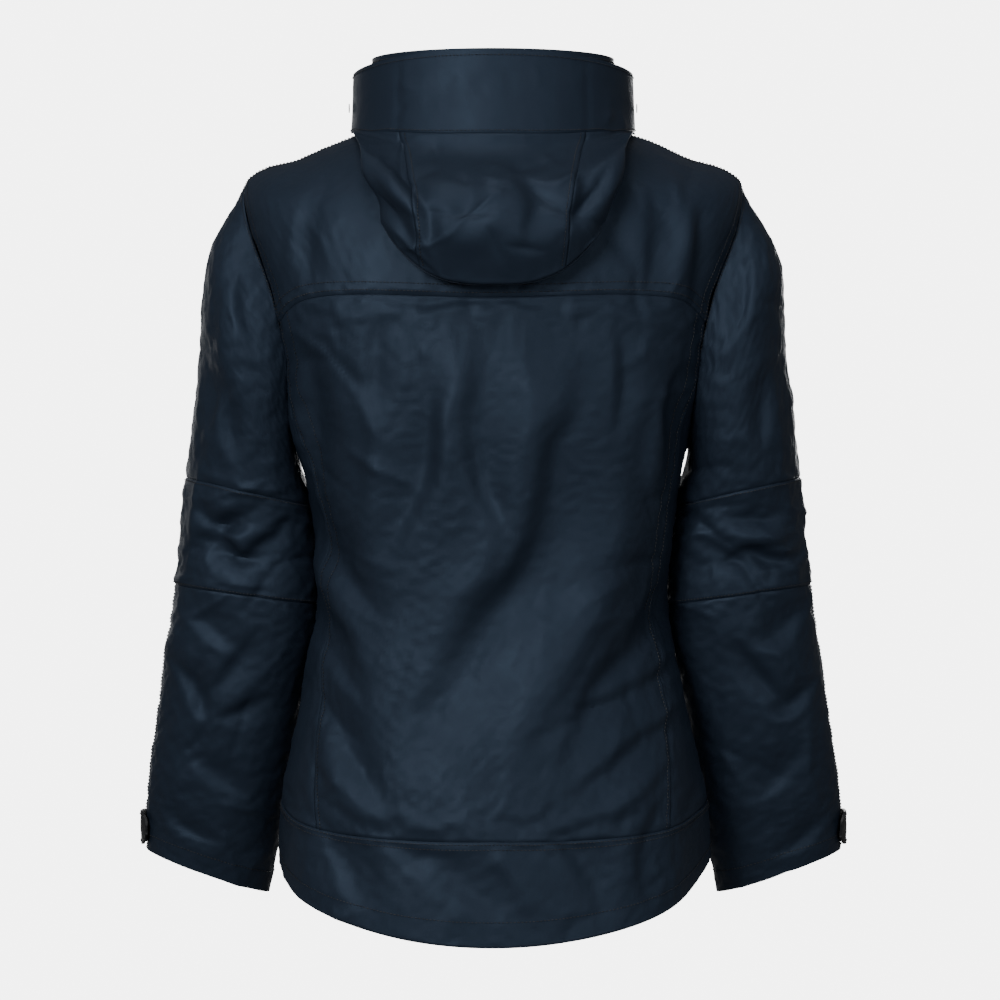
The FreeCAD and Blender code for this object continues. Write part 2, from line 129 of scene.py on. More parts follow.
def curve(points):
    """A smooth function through points (x, y), level beyond its ends."""
    xs = np.array([p[0] for p in points], float)
    ys = np.array([p[1] for p in points], float)
    last = len(xs) - 1
    lo = np.maximum(np.arange(last + 1) - 1, 0)
    hi = np.minimum(np.arange(last + 1) + 1, last)
    slope = (ys[hi] - ys[lo]) / (xs[hi] - xs[lo])

    def at(x):
        x = np.clip(np.asarray(x, float), xs[0], xs[-1])
        i = np.clip(np.searchsorted(xs, x, side="right") - 1, 0, last - 1)
        h = xs[i + 1] - xs[i]
        t = (x - xs[i]) / h
        return (
            (2 * t**3 - 3 * t**2 + 1) * ys[i]
            + (t**3 - 2 * t**2 + t) * h * slope[i]
            + (3 * t**2 - 2 * t**3) * ys[i + 1]
            + (t**3 - t**2) * h * slope[i + 1]
        )

    return at


def columns(rows):
    """A curve for each column after the first, over the first."""
    return [curve([(r[0], r[k]) for r in rows]) for k in range(1, len(rows[0]))]


def front_y(z):
    return FRONT_Y + FRONT_LEAN * z


def vec(x, y, z):
    return np.stack(np.broadcast_arrays(x, y, z), axis=-1).astype(float)


def sin_d(a):
    return np.sin(np.radians(a))


def cos_d(a):
    return np.cos(np.radians(a))


class Torso:
    """The trunk: angle in degrees from the middle of the back, and v the station in TORSO."""

    def __init__(self):
        self.side, self.back, self.front, self.width, self.depth = columns(TORSO)
        self.square, self.bust = curve(SQUARE), curve(BUST)

    def middle(self, v):
        return vec(0, 0, np.minimum(self.side(v), -60))

    def __call__(self, angle, v):
        s, c = sin_d(angle), cos_d(angle)
        share = 1.25 * c * c / (np.abs(c) + 0.25)
        far = np.where(c > 0, self.back(v), self.front(v))
        z = self.side(v) + (far - self.side(v)) * share
        corner = sin_d(2 * np.asarray(angle)) ** 2
        full = 1 + self.square(v) * corner
        back = self.depth(v) * c * full
        front = -front_y(self.front(v)) * c * (full + self.bust(v) * corner)
        return vec(self.width(v) * s * full, np.where(c > 0, back, front), z)


class Sleeve:
    """A sleeve: angle in degrees from its outer side by way of its back, and v from the armhole, 0, to the
    cuff's end, 7."""

    def __init__(self, torso, side):
        self.torso, self.side = torso, side
        count = len(ARMHOLE)
        loop = [(360.0 * i / count, *ARMHOLE[i % count]) for i in range(-2, count + 3)]
        self.hole = columns(loop)
        self.cols = columns(SLEEVE)

    def edge(self, angle):
        a = np.mod(angle, 360)
        return self.hole[0](a), self.hole[1](a)

    def ring(self, angle, k):
        x, y, z, wide, deep, rise = (col(k) for col in self.cols)
        return vec(x + wide * cos_d(angle), y + deep * sin_d(angle), z + rise * cos_d(angle))

    def middle(self, v):
        v = np.asarray(v, float)[..., None]
        cols = vec(*[c(np.maximum(v[..., 0], 1)) for c in self.cols[:3]])
        early = np.array([190.0, 0, -150]) * (1 - v) + vec(*[c(1) for c in self.cols[:3]]) * v
        return np.where(v < 1, early, cols) * [self.side, 1, 1]

    def __call__(self, angle, v):
        angle, v = np.broadcast_arrays(np.asarray(angle, float), np.asarray(v, float))
        start = self.torso(*self.edge(angle))
        one = np.ones_like(v)
        first = self.ring(angle, one)
        slope = (self.ring(angle, one * 1.01) - first) * 100
        h = np.clip(v, 0, 1)[..., None]
        early = (
            start * (2 * h**3 - 3 * h**2 + 1)
            + (first - start) * (h**3 - 2 * h**2 + h) * 1.1
            + first * (3 * h**2 - 2 * h**3)
            + slope * (h**3 - h**2)
        )
        late = self.ring(angle, np.maximum(v, 1))
        return np.where((v < 1)[..., None], early, late) * [self.side, 1, 1]


class Collar:
    """The stand-up collar: angle as on the torso, and v from its seam, 0, to its top, 1."""

    def __init__(self, torso):
        self.torso = torso

    def middle(self, v):
        return vec(0, 0, np.full_like(np.asarray(v, float), 20.0))

    def __call__(self, angle, v):
        angle, v = np.broadcast_arrays(np.asarray(angle, float), np.asarray(v, float))
        base_z = self.torso(angle, np.full_like(v, 9.0))[..., 2]
        s, c = sin_d(angle), cos_d(angle)
        rise = (COLLAR_TOP_FRONT - COLLAR_TOP_BACK) * c * c
        top = np.where(c > 0, COLLAR_TOP_BACK, COLLAR_TOP_BACK + rise)
        z = base_z + (top - base_z) * v
        y = np.where(c > 0, (87 - 5 * v) * c, -front_y(z + (COLLAR_TOP_FRONT - top) * v) * c)
        return vec((104 + 5 * v) * s, y, z)


class Hood:
    """The hood as it lies on the back: angle from its middle, and v the row in HOOD."""

    def __init__(self):
        self.cols = columns(HOOD)

    def middle(self, v):
        return vec(0, 0, self.cols[4](v) - 60)

    def __call__(self, angle, v):
        wide, side_y, side_z, mid_y, mid_z = (col(v) for col in self.cols)
        s, c = sin_d(angle), cos_d(angle)
        return vec(wide * s, side_y + (mid_y - side_y) * c, mid_z + (side_z - mid_z) * np.abs(s) ** 3)


class HoodUnder:
    """The layer between the hood's pouch and the back: v from the pouch's lower edge, 0, to the neck, 1."""

    def __init__(self, hood, torso):
        self.hood, self.torso = hood, torso
        self.v = np.arange(4.8, 9.01, 0.1)

    def middle(self, v):
        return vec(0, 0, np.full_like(np.asarray(v, float), -60.0))

    def on_back(self, x, z):
        shape = np.shape(x)
        x, z = np.ravel(x)[:, None], np.ravel(z)[:, None]
        wide = self.torso.width(self.v)[None, :]
        inside = np.abs(x) < wide * 0.98
        angle = np.degrees(np.arcsin(np.clip(x / wide, -0.98, 0.98)))
        p = self.torso(angle, np.broadcast_to(self.v[None, :], angle.shape))
        miss = np.where(inside, np.abs(p[..., 2] - z), 1e9)
        best = np.argmin(miss, axis=1)
        return p[np.arange(len(best)), best, 1].reshape(shape)

    def __call__(self, angle, v):
        angle, v = np.broadcast_arrays(np.asarray(angle, float), np.asarray(v, float))
        low = self.hood(angle, np.full_like(v, 4.0)) - np.array([0, 4.5, 0])
        s, c = sin_d(angle), cos_d(angle)
        top = vec(86 * s, 49 + 43 * c, 12 - 10 * c)
        w = v[..., None]
        p = low * (1 - w) + top * w
        rest = self.on_back(p[..., 0], p[..., 2]) + HOOD_CLEAR + 2.0
        edge = 4 * v * (1 - v)
        y = p[..., 1] * (1 - edge) + rest * edge
        return vec(p[..., 0], np.maximum(y, rest), p[..., 2])


torso = Torso()
sleeves = {"left": Sleeve(torso, 1), "right": Sleeve(torso, -1)}
collar = Collar(torso)
hood = Hood()
hood_under = HoodUnder(hood, torso)
back_seam, front_seam = curve(BACK_SEAM), curve(FRONT_SEAM)
hem_seam, yoke_seam = curve(HEM_SEAM), curve(YOKE_SEAM)
hood_seam = curve(HOOD_SEAM)


def edge_points(start, stop, key, value):
    """One of the armhole's two coordinates over the other, along part of its edge."""
    ring = sleeves["left"]
    return sorted((float(ring.edge(d)[key]), float(ring.edge(d)[value])) for d in range(start, stop, 6))


HOLE_TOP = float(sleeves["left"].edge(0)[1])
SHOULDER_LINE = [(HOLE_TOP, 90), (HOLE_TOP + 0.01, 90), (9, 90)]
hole_back = curve(edge_points(6, 181, 1, 0) + SHOULDER_LINE)
hole_front = curve(edge_points(180, 355, 1, 0) + SHOULDER_LINE)
hole_low = curve(edge_points(144, 217, 0, 1))
LOW_HOLE = float(sleeves["left"].edge(144)[1])


def back_edge(v):
    return np.where(v < LOW_HOLE, back_seam(v), hole_back(v))


def front_edge(v):
    return np.where(v < LOW_HOLE, front_seam(v), hole_front(v))


def zip_edge(v):
    return 180 - np.degrees(np.arcsin(ZIP_OPENING / torso.width(v)))


def flat(value):
    return lambda x: np.full_like(np.asarray(x, float), float(value))


# ---------------------------------------------------------------- noise and folds
def near(distance, width):
    return np.exp(-(distance / width) ** 2)


def hashed(i, seed):
    n = (i.astype(np.int64) * 374761393 + seed * 668265263) & 0x7FFFFFFF
    n = (n ^ (n >> 13)) * 1274126177 & 0x7FFFFFFF
    return ((n ^ (n >> 16)) & 0xFFFF) / 65535.0 * 2 - 1


def smoother(t):
    return t**3 * (t * (6 * t - 15) + 10)


def noise1(x, seed):
    i = np.floor(x)
    t = smoother(x - i)
    return hashed(i, seed) * (1 - t) + hashed(i + 1, seed) * t


def noise3(p, size, seed):
    q = p / size
    i = np.floor(q).astype(np.int64)
    t = smoother(q - i)
    total = 0
    for dx in (0, 1):
        for dy in (0, 1):
            for dz in (0, 1):
                x, y, z = i[..., 0] + dx, i[..., 1] + dy, i[..., 2] + dz
                key = x * 73856093 ^ y * 19349663 ^ z * 83492791
                w = (
                    (t[..., 0] if dx else 1 - t[..., 0])
                    * (t[..., 1] if dy else 1 - t[..., 1])
                    * (t[..., 2] if dz else 1 - t[..., 2])
                )
                total = total + hashed(key, seed) * w
    return total


def stroke(x, z, path, width, height, skew=0.0):
    """A fold along a path in the X-Z plane: a ridge (height > 0) or a valley, fading out at its ends.
    With skew None it is a crease, with a sharp crest and straight flanks."""
    share = np.linspace(0, len(path) - 1, 5 * (len(path) - 1) + 1)
    track = np.stack([curve([(i, p[k]) for i, p in enumerate(path)])(share) for k in (0, 1)], axis=1)
    lengths = np.linalg.norm(np.diff(track, axis=0), axis=1)
    best = np.full(np.shape(x), 1e9)
    signed = np.zeros(np.shape(x))
    along = np.zeros(np.shape(x))
    done = 0.0
    for (ax, az), (bx, bz), length in zip(track, track[1:], lengths):
        ux, uz = (bx - ax) / length, (bz - az) / length
        t = np.clip((x - ax) * ux + (z - az) * uz, 0, length)
        dx, dz = x - (ax + ux * t), z - (az + uz * t)
        d = np.hypot(dx, dz)
        closer = d < best
        best = np.where(closer, d, best)
        signed = np.where(closer, np.sign(dx * uz - dz * ux) * d, signed)
        along = np.where(closer, (done + t) / lengths.sum(), along)
        done += length
    taper = np.sin(np.pi * np.clip(along, 0.0, 1.0)) ** 1.5
    wide = width * (1 + (skew or 0) * np.tanh(signed / width)) * (0.55 + 0.45 * taper)
    r = best / wide
    if skew is None:
        return height * taper * np.exp(-1.7 * (np.sqrt(r * r + 0.02) - 0.14))
    return height * taper * np.exp(-r * r)


def strokes(x, z, folds, seed=0, gain=1.0):
    """All of a list's folds, on a grid that wanders a little so that no fold is straight."""
    where = vec(x, seed * 100.0, z)
    dx = noise3(where, 75, 31) * 9 + noise3(where, 32, 32) * 2.5
    dz = noise3(where, 80, 33) * 9 + noise3(where, 34, 34) * 2.5
    total = np.zeros(np.shape(x))
    for path, width, height, skew in folds:
        total = total + stroke(x + dx, z + dz, path, width, height * gain, skew)
    return total


# Folds over the back: path of (x, z), width, height, skew
BACK_FOLDS = [
    ([(-76, -180), (-70, -290), (-38, -375), (8, -452), (84, -600)], 27, -13.0, 0.45),
    ([(-44, -200), (-30, -310), (2, -372), (60, -480)], 24, 6.0, 0.2),
    ([(-124, -290), (-96, -400), (-62, -470), (0, -600)], 25, 8.0, -0.3),
    ([(-172, -350), (-140, -430), (-104, -492), (-56, -580)], 20, -11.0, 0.45),
    ([(-160, -430), (-110, -500), (-40, -560)], 15, 5.0, 0.3),
    ([(60, -200), (62, -290), (96, -400)], 22, -9.0, -0.45),
    ([(106, -220), (98, -310), (118, -410)], 20, 5.0, 0.2),
    ([(6, -160), (6, -260), (-4, -350), (16, -440)], 18, -8.0, 0.3),
    ([(36, -170), (34, -260), (48, -370)], 17, 4.5, 0.2),
    ([(-30, -165), (-34, -240), (-48, -320)], 15, 3.8, 0.2),
    ([(166, -318), (140, -380), (84, -445)], 14, -8.5, 0.5),
    ([(168, -360), (140, -408), (104, -490)], 12, 6.0, 0.2),
    ([(160, -390), (142, -450), (110, -520)], 13, -6.0, 0.4),
    ([(156, -480), (130, -550), (80, -606)], 15, -8.0, 0.4),
    ([(156, -528), (132, -575), (94, -612)], 12, 5.5, 0.2),
    ([(-168, -455), (-118, -503), (-50, -534)], 12, -5.5, 0.4),
    ([(-170, -510), (-116, -556), (-56, -590)], 13, -5.0, 0.4),
    ([(-160, -560), (-120, -588), (-70, -604)], 11, 4.0, 0.2),
    ([(-130, -45), (-138, -100), (-132, -160)], 12, -5.5, 0.4),
    ([(-150, -36), (-160, -100), (-152, -165)], 11, 4.5, 0.3),
    ([(-170, -55), (-178, -112), (-170, -168)], 10, -5.0, 0.3),
    ([(156, -46), (166, -104), (158, -162)], 12, -4.0, 0.4),
    ([(122, -142), (60, -156), (0, -152), (-60, -158)], 9, -2.6, 0.3),
    ([(94, -160), (104, -212), (94, -280)], 13, -4.0, 0.3),
    ([(-110, -160), (-118, -220), (-110, -290)], 13, -4.0, 0.3),
    ([(174, -190), (160, -258), (156, -335)], 11, -7.5, 0.4),
    ([(190, -205), (176, -260), (170, -322)], 9, 5.5, 0.3),
    ([(-180, -195), (-164, -258), (-156, -325)], 11, -7.0, 0.4),
    ([(-162, -225), (-148, -290), (-144, -356)], 10, 5.0, 0.3),
    ([(106, -610), (40, -648), (-12, -700)], 16, -4.5, 0.3),
    ([(-46, -606), (-80, -650), (-94, -704)], 15, -5.0, 0.3),
    ([(156, -592), (120, -636), (108, -694)], 13, -5.0, 0.3),
    ([(-152, -592), (-138, -640), (-144, -686)], 12, -4.5, 0.3),
    ([(34, -600), (-6, -638), (-38, -704)], 13, 3.2, 0.3),
]
FRONT_FOLDS = [
    ([(150, -200), (110, -260), (90, -330)], 20, -6.8, 0.4),
    ([(150, -330), (110, -380), (70, -420)], 18, -6.0, 0.4),
    ([(145, -400), (110, -450), (80, -520)], 16, -6.8, 0.4),
    ([(60, -150), (70, -230), (60, -300)], 24, 4.5, 0.2),
    ([(40, -420), (50, -500), (40, -580)], 22, -3.8, 0.3),
    ([(100, -560), (120, -620), (110, -660)], 18, -4.5, 0.3),
    ([(150, -80), (140, -130), (120, -180)], 14, -4.5, 0.3),
    ([(30, -330), (70, -360), (130, -365)], 13, -4.2, 0.3),
]
# Folds on the back of the sleeves, in the left sleeve's own x
SLEEVE_FOLDS = {
    "left": [
        ([(272, -335), (240, -360), (205, -352)], 10, -8.1, 0.4),
        ([(278, -385), (250, -372), (222, -392), (190, -388)], 9, -8.1, -0.4),
        ([(270, -360), (245, -348), (215, -335)], 8, 5.4, 0.3),
        ([(180, -345), (200, -372), (232, -400)], 9, -6.8, 0.4),
        ([(280, -430), (250, -440), (215, -462)], 11, -6.1, 0.4),
        ([(200, -440), (225, -470), (250, -505)], 11, -5.4, 0.3),
        ([(285, -470), (262, -500), (250, -540)], 12, -6.1, 0.4),
        ([(240, -230), (228, -270), (215, -310)], 12, -6.1, 0.4),
        ([(262, -180), (252, -240), (258, -300)], 12, -4.7, 0.4),
        ([(225, -120), (218, -170), (205, -215)], 11, -5.4, 0.4),
        ([(270, -560), (245, -585), (222, -600)], 11, -5.4, 0.4),
        ([(295, -600), (280, -625), (250, -640)], 9, -4.1, 0.3),
        ([(190, -500), (215, -520), (245, -530)], 10, -4.7, 0.3),
        ([(240, -150), (236, -200), (240, -250)], 12, 4.1, 0.3),
    ],
    "right": [
        ([(270, -345), (235, -355), (200, -345)], 10, -8.1, 0.4),
        ([(282, -375), (255, -392), (225, -385), (195, -400)], 9, -8.8, -0.4),
        ([(275, -360), (240, -372), (205, -365)], 8, 5.4, 0.3),
        ([(185, -360), (205, -385), (240, -410)], 9, -6.1, 0.4),
        ([(285, -425), (255, -445), (220, -452)], 11, -6.8, 0.4),
        ([(205, -445), (235, -485), (262, -520)], 12, -6.8, 0.3),
        ([(290, -490), (262, -515), (232, -520)], 11, -5.4, 0.4),
        ([(245, -210), (236, -260), (225, -305)], 12, -6.1, 0.4),
        ([(265, -170), (258, -230), (262, -290)], 12, -4.1, 0.4),
        ([(228, -110), (220, -160), (208, -205)], 11, -5.4, 0.4),
        ([(280, -550), (258, -580), (235, -610)], 11, -5.4, 0.4),
        ([(300, -610), (280, -640), (255, -650)], 9, -4.1, 0.3),
    ],
}
HOOD_FOLDS = [
    ([(115, -45), (96, -75), (66, -112)], 9, -9.1, 0.5),
    ([(104, -38), (84, -66), (58, -92)], 8, 5.9, 0.3),
    ([(96, -32), (74, -52), (60, -80)], 8, -6.5, 0.4),
    ([(64, -60), (56, -92), (60, -122)], 9, -5.2, 0.4),
    ([(20, -40), (-5, -70), (10, -110)], 18, 5.2, 0.2),
    ([(-20, -50), (-45, -85), (-30, -125)], 12, -5.9, 0.4),
    ([(-70, -45), (-86, -70), (-70, -110)], 9, -7.2, 0.4),
    ([(-100, -40), (-96, -66), (-78, -98)], 8, -5.9, 0.4),
    ([(40, -75), (10, -88), (-25, -84)], 10, -3.9, 0.4),
]


def halves(facing, slope, overlap):
    """The shares of the folds behind and before, which overlap a little at the sides."""
    return np.clip(facing * slope + overlap, 0, 1), np.clip(-facing * slope + overlap, 0, 1)


def creases(seed, count, xs, zs, slope, spread, length, width, height):
    """Creases strewn over a box of the X-Z plane, along about one slope in degrees."""
    rng = np.random.default_rng(seed)
    made = []
    for _ in range(count):
        x, z = rng.uniform(*xs), rng.uniform(*zs)
        angle = math.radians(slope + rng.normal() * spread)
        half = rng.uniform(*length) / 2
        bow = rng.uniform(-0.2, 0.2) * half
        dx, dz = math.cos(angle), math.sin(angle)
        path = [(x - dx * half, z - dz * half), (x - dz * bow, z + dx * bow),
                (x + dx * half, z + dz * half)]
        made.append((path, rng.uniform(*width), rng.uniform(*height) * rng.choice((-1, 1)), None))
    return made


BACK_CREASES = (
    creases(1, 16, (90, 168), (-590, -190), 38, 22, (35, 95), (5, 9), (1.2, 2.8))
    + creases(2, 14, (-168, -90), (-590, -190), -40, 22, (35, 95), (5, 9), (1.2, 2.6))
    + creases(3, 26, (-150, 150), (-206, -160), 90, 14, (20, 60), (3.5, 6), (0.6, 1.4))
    + creases(4, 16, (-150, 150), (-600, -560), 90, 22, (15, 50), (4, 6), (0.6, 1.3))
    + creases(5, 8, (-180, -104), (-150, -30), 82, 14, (60, 120), (6, 10), (1.2, 2.4))
    + creases(6, 6, (110, 185), (-150, -30), 98, 14, (50, 110), (6, 10), (0.8, 1.6))
    + creases(7, 14, (-130, 130), (-540, -220), -60, 22, (60, 150), (8, 13), (0.8, 1.8))
    + creases(8, 18, (-170, 170), (-700, -610), -70, 40, (25, 80), (6, 10), (0.8, 2.0))
)
FRONT_CREASES = (
    creases(11, 24, (20, 165), (-600, -80), -60, 30, (50, 130), (7, 12), (1.0, 2.4))
    + creases(12, 24, (-165, -20), (-600, -80), 60, 30, (50, 130), (7, 12), (1.0, 2.4))
    + creases(13, 16, (-170, 170), (-700, -600), 80, 30, (25, 80), (6, 10), (0.8, 1.8))
)
SLEEVE_CREASES = {
    (side, half): (
        creases(seed + 1, 9, (178, 275), (-300, -70), -78, 20, (60, 150), (7, 13), (1.0, 2.4))
        + creases(seed + 2, 18, (155, 295), (-432, -296), 0, 32, (40, 120), (5, 9), (1.3, 3.4))
        + creases(seed + 3, 12, (165, 310), (-665, -430), -56, 30, (60, 160), (6, 12), (1.0, 2.7))
        + creases(seed + 4, 6, (200, 315), (-690, -600), -85, 20, (25, 70), (5, 8), (0.6, 1.5))
    )
    for side, half, seed in (("left", "back", 20), ("left", "front", 30), ("right", "back", 40),
                             ("right", "front", 50))
}
HOOD_CREASES = creases(61, 26, (-108, 108), (-122, -22), 10, 55, (30, 90), (4, 8), (1.0, 2.6))
BRIM_CREASES = creases(62, 14, (-118, 118), (0, 46), 62, 36, (15, 45), (3, 6), (0.5, 1.3))


def crinkle(p, strength):
    """Fine creases that come from folding, more up and down than across."""
    q = p * [1.0, 1.0, 0.8]
    broad = noise3(q, 70, 11) * 1.5 + noise3(q + 900, 36, 12) * 0.8
    ridged = (1 - np.abs(noise3(q + 300, 30, 13)) * 2) * 0.7
    small = (1 - np.abs(noise3(q + 500, 15, 14)) * 2) * 0.28
    return (broad + ridged + small) * strength


def torso_folds(angle, v, p):
    x, z = p[..., 0], p[..., 2]
    behind, before = halves(cos_d(angle), 3, 0.25)
    a = np.abs(angle)
    rough = 0.22 + 0.6 * np.clip((a - 45) / 35, 0, 1) + 0.35 * near((v - 6) * 78 + 20, 30)
    total = crinkle(p, rough) + strokes(x, z, BACK_FOLDS) * behind
    total = total + strokes(x, z, FRONT_FOLDS, 1) * before
    total = total + strokes(-x, z + 14, FRONT_FOLDS, 2, 0.9) * before
    total = total + 5.5 * near(a - 90, 24) * near(z + 390, 150)
    drape = np.clip((-z - 470) / 200, 0, 1) * 2.6
    return total + drape * sin_d(np.asarray(angle) * 7 + 40) * np.abs(sin_d(angle)) ** 0.5


def sleeve_folds(side, angle, v, p):
    x, z = p[..., 0] * (1 if side == "left" else -1), p[..., 2]
    behind, before = halves(sin_d(angle), 2.5, 0.4)
    total = crinkle(p + (0 if side == "left" else 333), 0.35 + 0.4 * near((np.asarray(v) - 3.4) * 88, 90))
    total = total + strokes(x, z, SLEEVE_FOLDS[side], 3) * behind
    total = total + strokes(x, z - 9, SLEEVE_FOLDS[side], 4, 0.8) * before
    return total * np.clip(np.asarray(v) * 1.6, 0.1, 1)


def hood_folds(angle, v, p):
    soft = np.clip((np.asarray(v) - 1.0) * 1.4, 0, 1)
    x, z = p[..., 0], p[..., 2]
    total = crinkle(p + 77, 0.6) + strokes(x, z, HOOD_FOLDS, 5)
    return total * soft


# ---------------------------------------------------------------- cloth simulation
CLOTH = {
    "quality": 4, "mass": 0.15, "air_damping": 4.0, "tension_stiffness": 18.0, "compression_stiffness": 18.0,
    "shear_stiffness": 6.0, "bending_stiffness": 1.2, "tension_damping": 6.0, "compression_damping": 6.0,
    "shear_damping": 6.0, "bending_damping": 1.0, "vertex_group_mass": "pin", "pin_stiffness": 1.0,
    "vertex_group_shrink": "ease",
}
CLOTH_FRAMES = 16
CLOTH_SCALE = 100.0  # millimetres to one unit of the solver


class Settled:
    """A surface's own grid, let buckle by Blender's cloth solver; it gives the lift at any place on it.
    grow is how much the cloth grows, least and most, and cap limits how far it may lift."""

    def __init__(self, name, surface, us, vs, folds, pins, ease, grow, cap=9.0):
        self.us, self.vs = us, vs
        u, v = np.meshgrid(us, vs, indexing="ij")
        base = surface(u, v)
        normal = normals_of(surface, u, v)
        lift = folds(u, v, base)
        seeds = noise3(base, 26, 71) * 0.9 + noise3(base, 12, 72) * 0.4
        weight = np.clip(pins(u, v, base), 0, 1)
        start = base + normal * (lift + seeds * (1 - weight))[..., None]
        obj = self.grid_object(name, start)
        self.group(obj, "pin", weight)
        self.group(obj, "ease", np.clip(ease(u, v, base), 0, 1))
        self.add_cloth(obj, grow)
        moved = self.run(obj, start.shape)
        rise = ((moved - base) * normal).sum(-1)
        self.field = lift + cap * np.tanh((rise - lift) / cap)

    @staticmethod
    def grid_object(name, points):
        rows, cols = points.shape[:2]
        number = np.arange(rows * cols).reshape(rows, cols)
        corners = (number[:-1, :-1], number[1:, :-1], number[1:, 1:], number[:-1, 1:])
        faces = np.stack([c.ravel() for c in corners], axis=1)
        mesh = bpy.data.meshes.new(name)
        mesh.from_pydata((points.reshape(-1, 3) / CLOTH_SCALE).tolist(), [], faces.tolist())
        obj = bpy.data.objects.new(name, mesh)
        bpy.context.scene.collection.objects.link(obj)
        return obj

    @staticmethod
    def group(obj, label, values):
        group = obj.vertex_groups.new(name=label)
        rounded = np.round(values.ravel(), 2)
        for value in np.unique(rounded):
            group.add(np.nonzero(rounded == value)[0].tolist(), float(value), "REPLACE")

    @staticmethod
    def add_cloth(obj, grow):
        cloth = obj.modifiers.new("cloth", "CLOTH")
        for key, value in CLOTH.items():
            setattr(cloth.settings, key, value)
        cloth.settings.shrink_min, cloth.settings.shrink_max = -grow[0], -grow[1]
        cloth.settings.effector_weights.gravity = 0.0
        cloth.collision_settings.use_collision = False
        cloth.collision_settings.use_self_collision = False
        cloth.point_cache.frame_start, cloth.point_cache.frame_end = 1, CLOTH_FRAMES

    @staticmethod
    def run(obj, shape):
        """The settled points; the object itself is removed."""
        scene = bpy.context.scene
        for number in range(1, CLOTH_FRAMES + 1):
            scene.frame_set(number)
        done = obj.evaluated_get(bpy.context.evaluated_depsgraph_get()).to_mesh()
        out = np.empty(shape[0] * shape[1] * 3, dtype=np.float32)
        done.vertices.foreach_get("co", out)
        moved = out.reshape(shape).astype(float) * CLOTH_SCALE
        mesh = obj.data
        bpy.data.objects.remove(obj)
        bpy.data.meshes.remove(mesh)
        scene.frame_set(1)
        return moved

    def __call__(self, u, v, p=None):
        i = np.interp(u, self.us, np.arange(len(self.us)))
        j = np.interp(v, self.vs, np.arange(len(self.vs)))
        return smooth_lookup(self.field, i, j)


def smooth_lookup(field, i, j):
    """Cubic lookup in a grid, at fractional indices."""
    rows, cols = field.shape
    i0 = np.clip(np.floor(i).astype(int), 0, rows - 2)
    j0 = np.clip(np.floor(j).astype(int), 0, cols - 2)
    a, b = i - i0, j - j0

    def weights(t):
        return (-0.5 * t**3 + t**2 - 0.5 * t, 1.5 * t**3 - 2.5 * t**2 + 1,
                -1.5 * t**3 + 2 * t**2 + 0.5 * t, 0.5 * t**3 - 0.5 * t**2)

    total = 0.0
    for di, wi in zip((-1, 0, 1, 2), weights(a)):
        row = np.clip(i0 + di, 0, rows - 1)
        for dj, wj in zip((-1, 0, 1, 2), weights(b)):
            total = total + field[row, np.clip(j0 + dj, 0, cols - 1)] * wi * wj
    return total


# About how many millimetres a station or a degree is
TORSO_STEP, NECK_STEP = 78, 65
ARMHOLE_STEP, SLEEVE_STEP, CUFF_STEP = 80, 88, 74
HOOD_STEP, POUCH_STEP = 70, 50
TORSO_TURN = math.radians(1) * 150.0
SLEEVE_TURN, HOOD_TURN = 1.05, 2.2


def torso_pins(u, v, p):
    """How firmly the cloth keeps its place: at its seams, and less where it is eased."""
    a = np.abs(u)
    weight = 0.6 - 0.45 * torso_ease(u, v, p)
    low = v < LOW_HOLE
    weight = np.maximum(weight, np.where(low, near((a - back_seam(v)) * TORSO_TURN, 5), 0))
    weight = np.maximum(weight, np.where(low, near((a - front_seam(v)) * TORSO_TURN, 5), 0))
    behind = a < np.where(low, 104, hole_back(v))
    weight = np.maximum(weight, np.where(behind, near((v - yoke_seam(a)) * TORSO_STEP, 5), 0))
    weight = np.maximum(weight, np.where(a < 104, near((v - hem_seam(a)) * TORSO_STEP, 5), 0))
    hole = (v > 5.0) & (v < 7.12) & (a > hole_back(v) - 1.5) & (a < hole_front(v) + 1.5)
    weight = np.where(hole, 1.0, weight)
    weight = np.maximum(weight, near(v * TORSO_STEP, 8) * 0.75)
    weight = np.maximum(weight, near((9 - v) * NECK_STEP, 10))
    return np.maximum(weight, near((a - 178) * TORSO_TURN * 0.6, 8))


def sleeve_pins(u, v, p):
    weight = 0.42 - 0.3 * sleeve_ease(u, v, p)
    for station in (ELBOW_TOP, ELBOW_BOTTOM):
        weight = np.maximum(weight, near((v - station) * SLEEVE_STEP, 5) * 0.97)
    weight = np.maximum(weight, near(v * ARMHOLE_STEP, 8))
    weight = np.maximum(weight, near((CUFF_END - v) * CUFF_STEP, 8) * 0.8)
    for a in (-180, 0, 180):
        weight = np.maximum(weight, near((u - a) * SLEEVE_TURN, 4) * 0.97)
    return weight


def torso_ease(u, v, p):
    """Spare cloth is gathered below the yoke seam, beside the long seams and round the waist's sides."""
    a = np.abs(u)
    seam = near((v - yoke_seam(np.minimum(a, 66))) * TORSO_STEP + 14, 18) * (a < 80)
    side = near((a - back_seam(np.minimum(v, 5.3))) * 2.6, 22) * (v < 5.6)
    low = near((v - hem_seam(np.minimum(a, 105))) * TORSO_STEP - 8, 18) * (a < 110)
    waist = near((v - 3.2) * TORSO_STEP, 100) * np.clip((a - 40) / 40, 0, 1)
    return np.maximum.reduce([seam, side * 0.9, low, waist * 0.8])


def sleeve_ease(u, v, p):
    elbow = near((v - 3.4) * SLEEVE_STEP, 75)
    wrist = near((v - 6.4) * CUFF_STEP, 60) * 0.55
    armpit = near((v - 1.2) * ARMHOLE_STEP, 60) * 0.5
    return np.maximum.reduce([elbow, wrist, armpit])


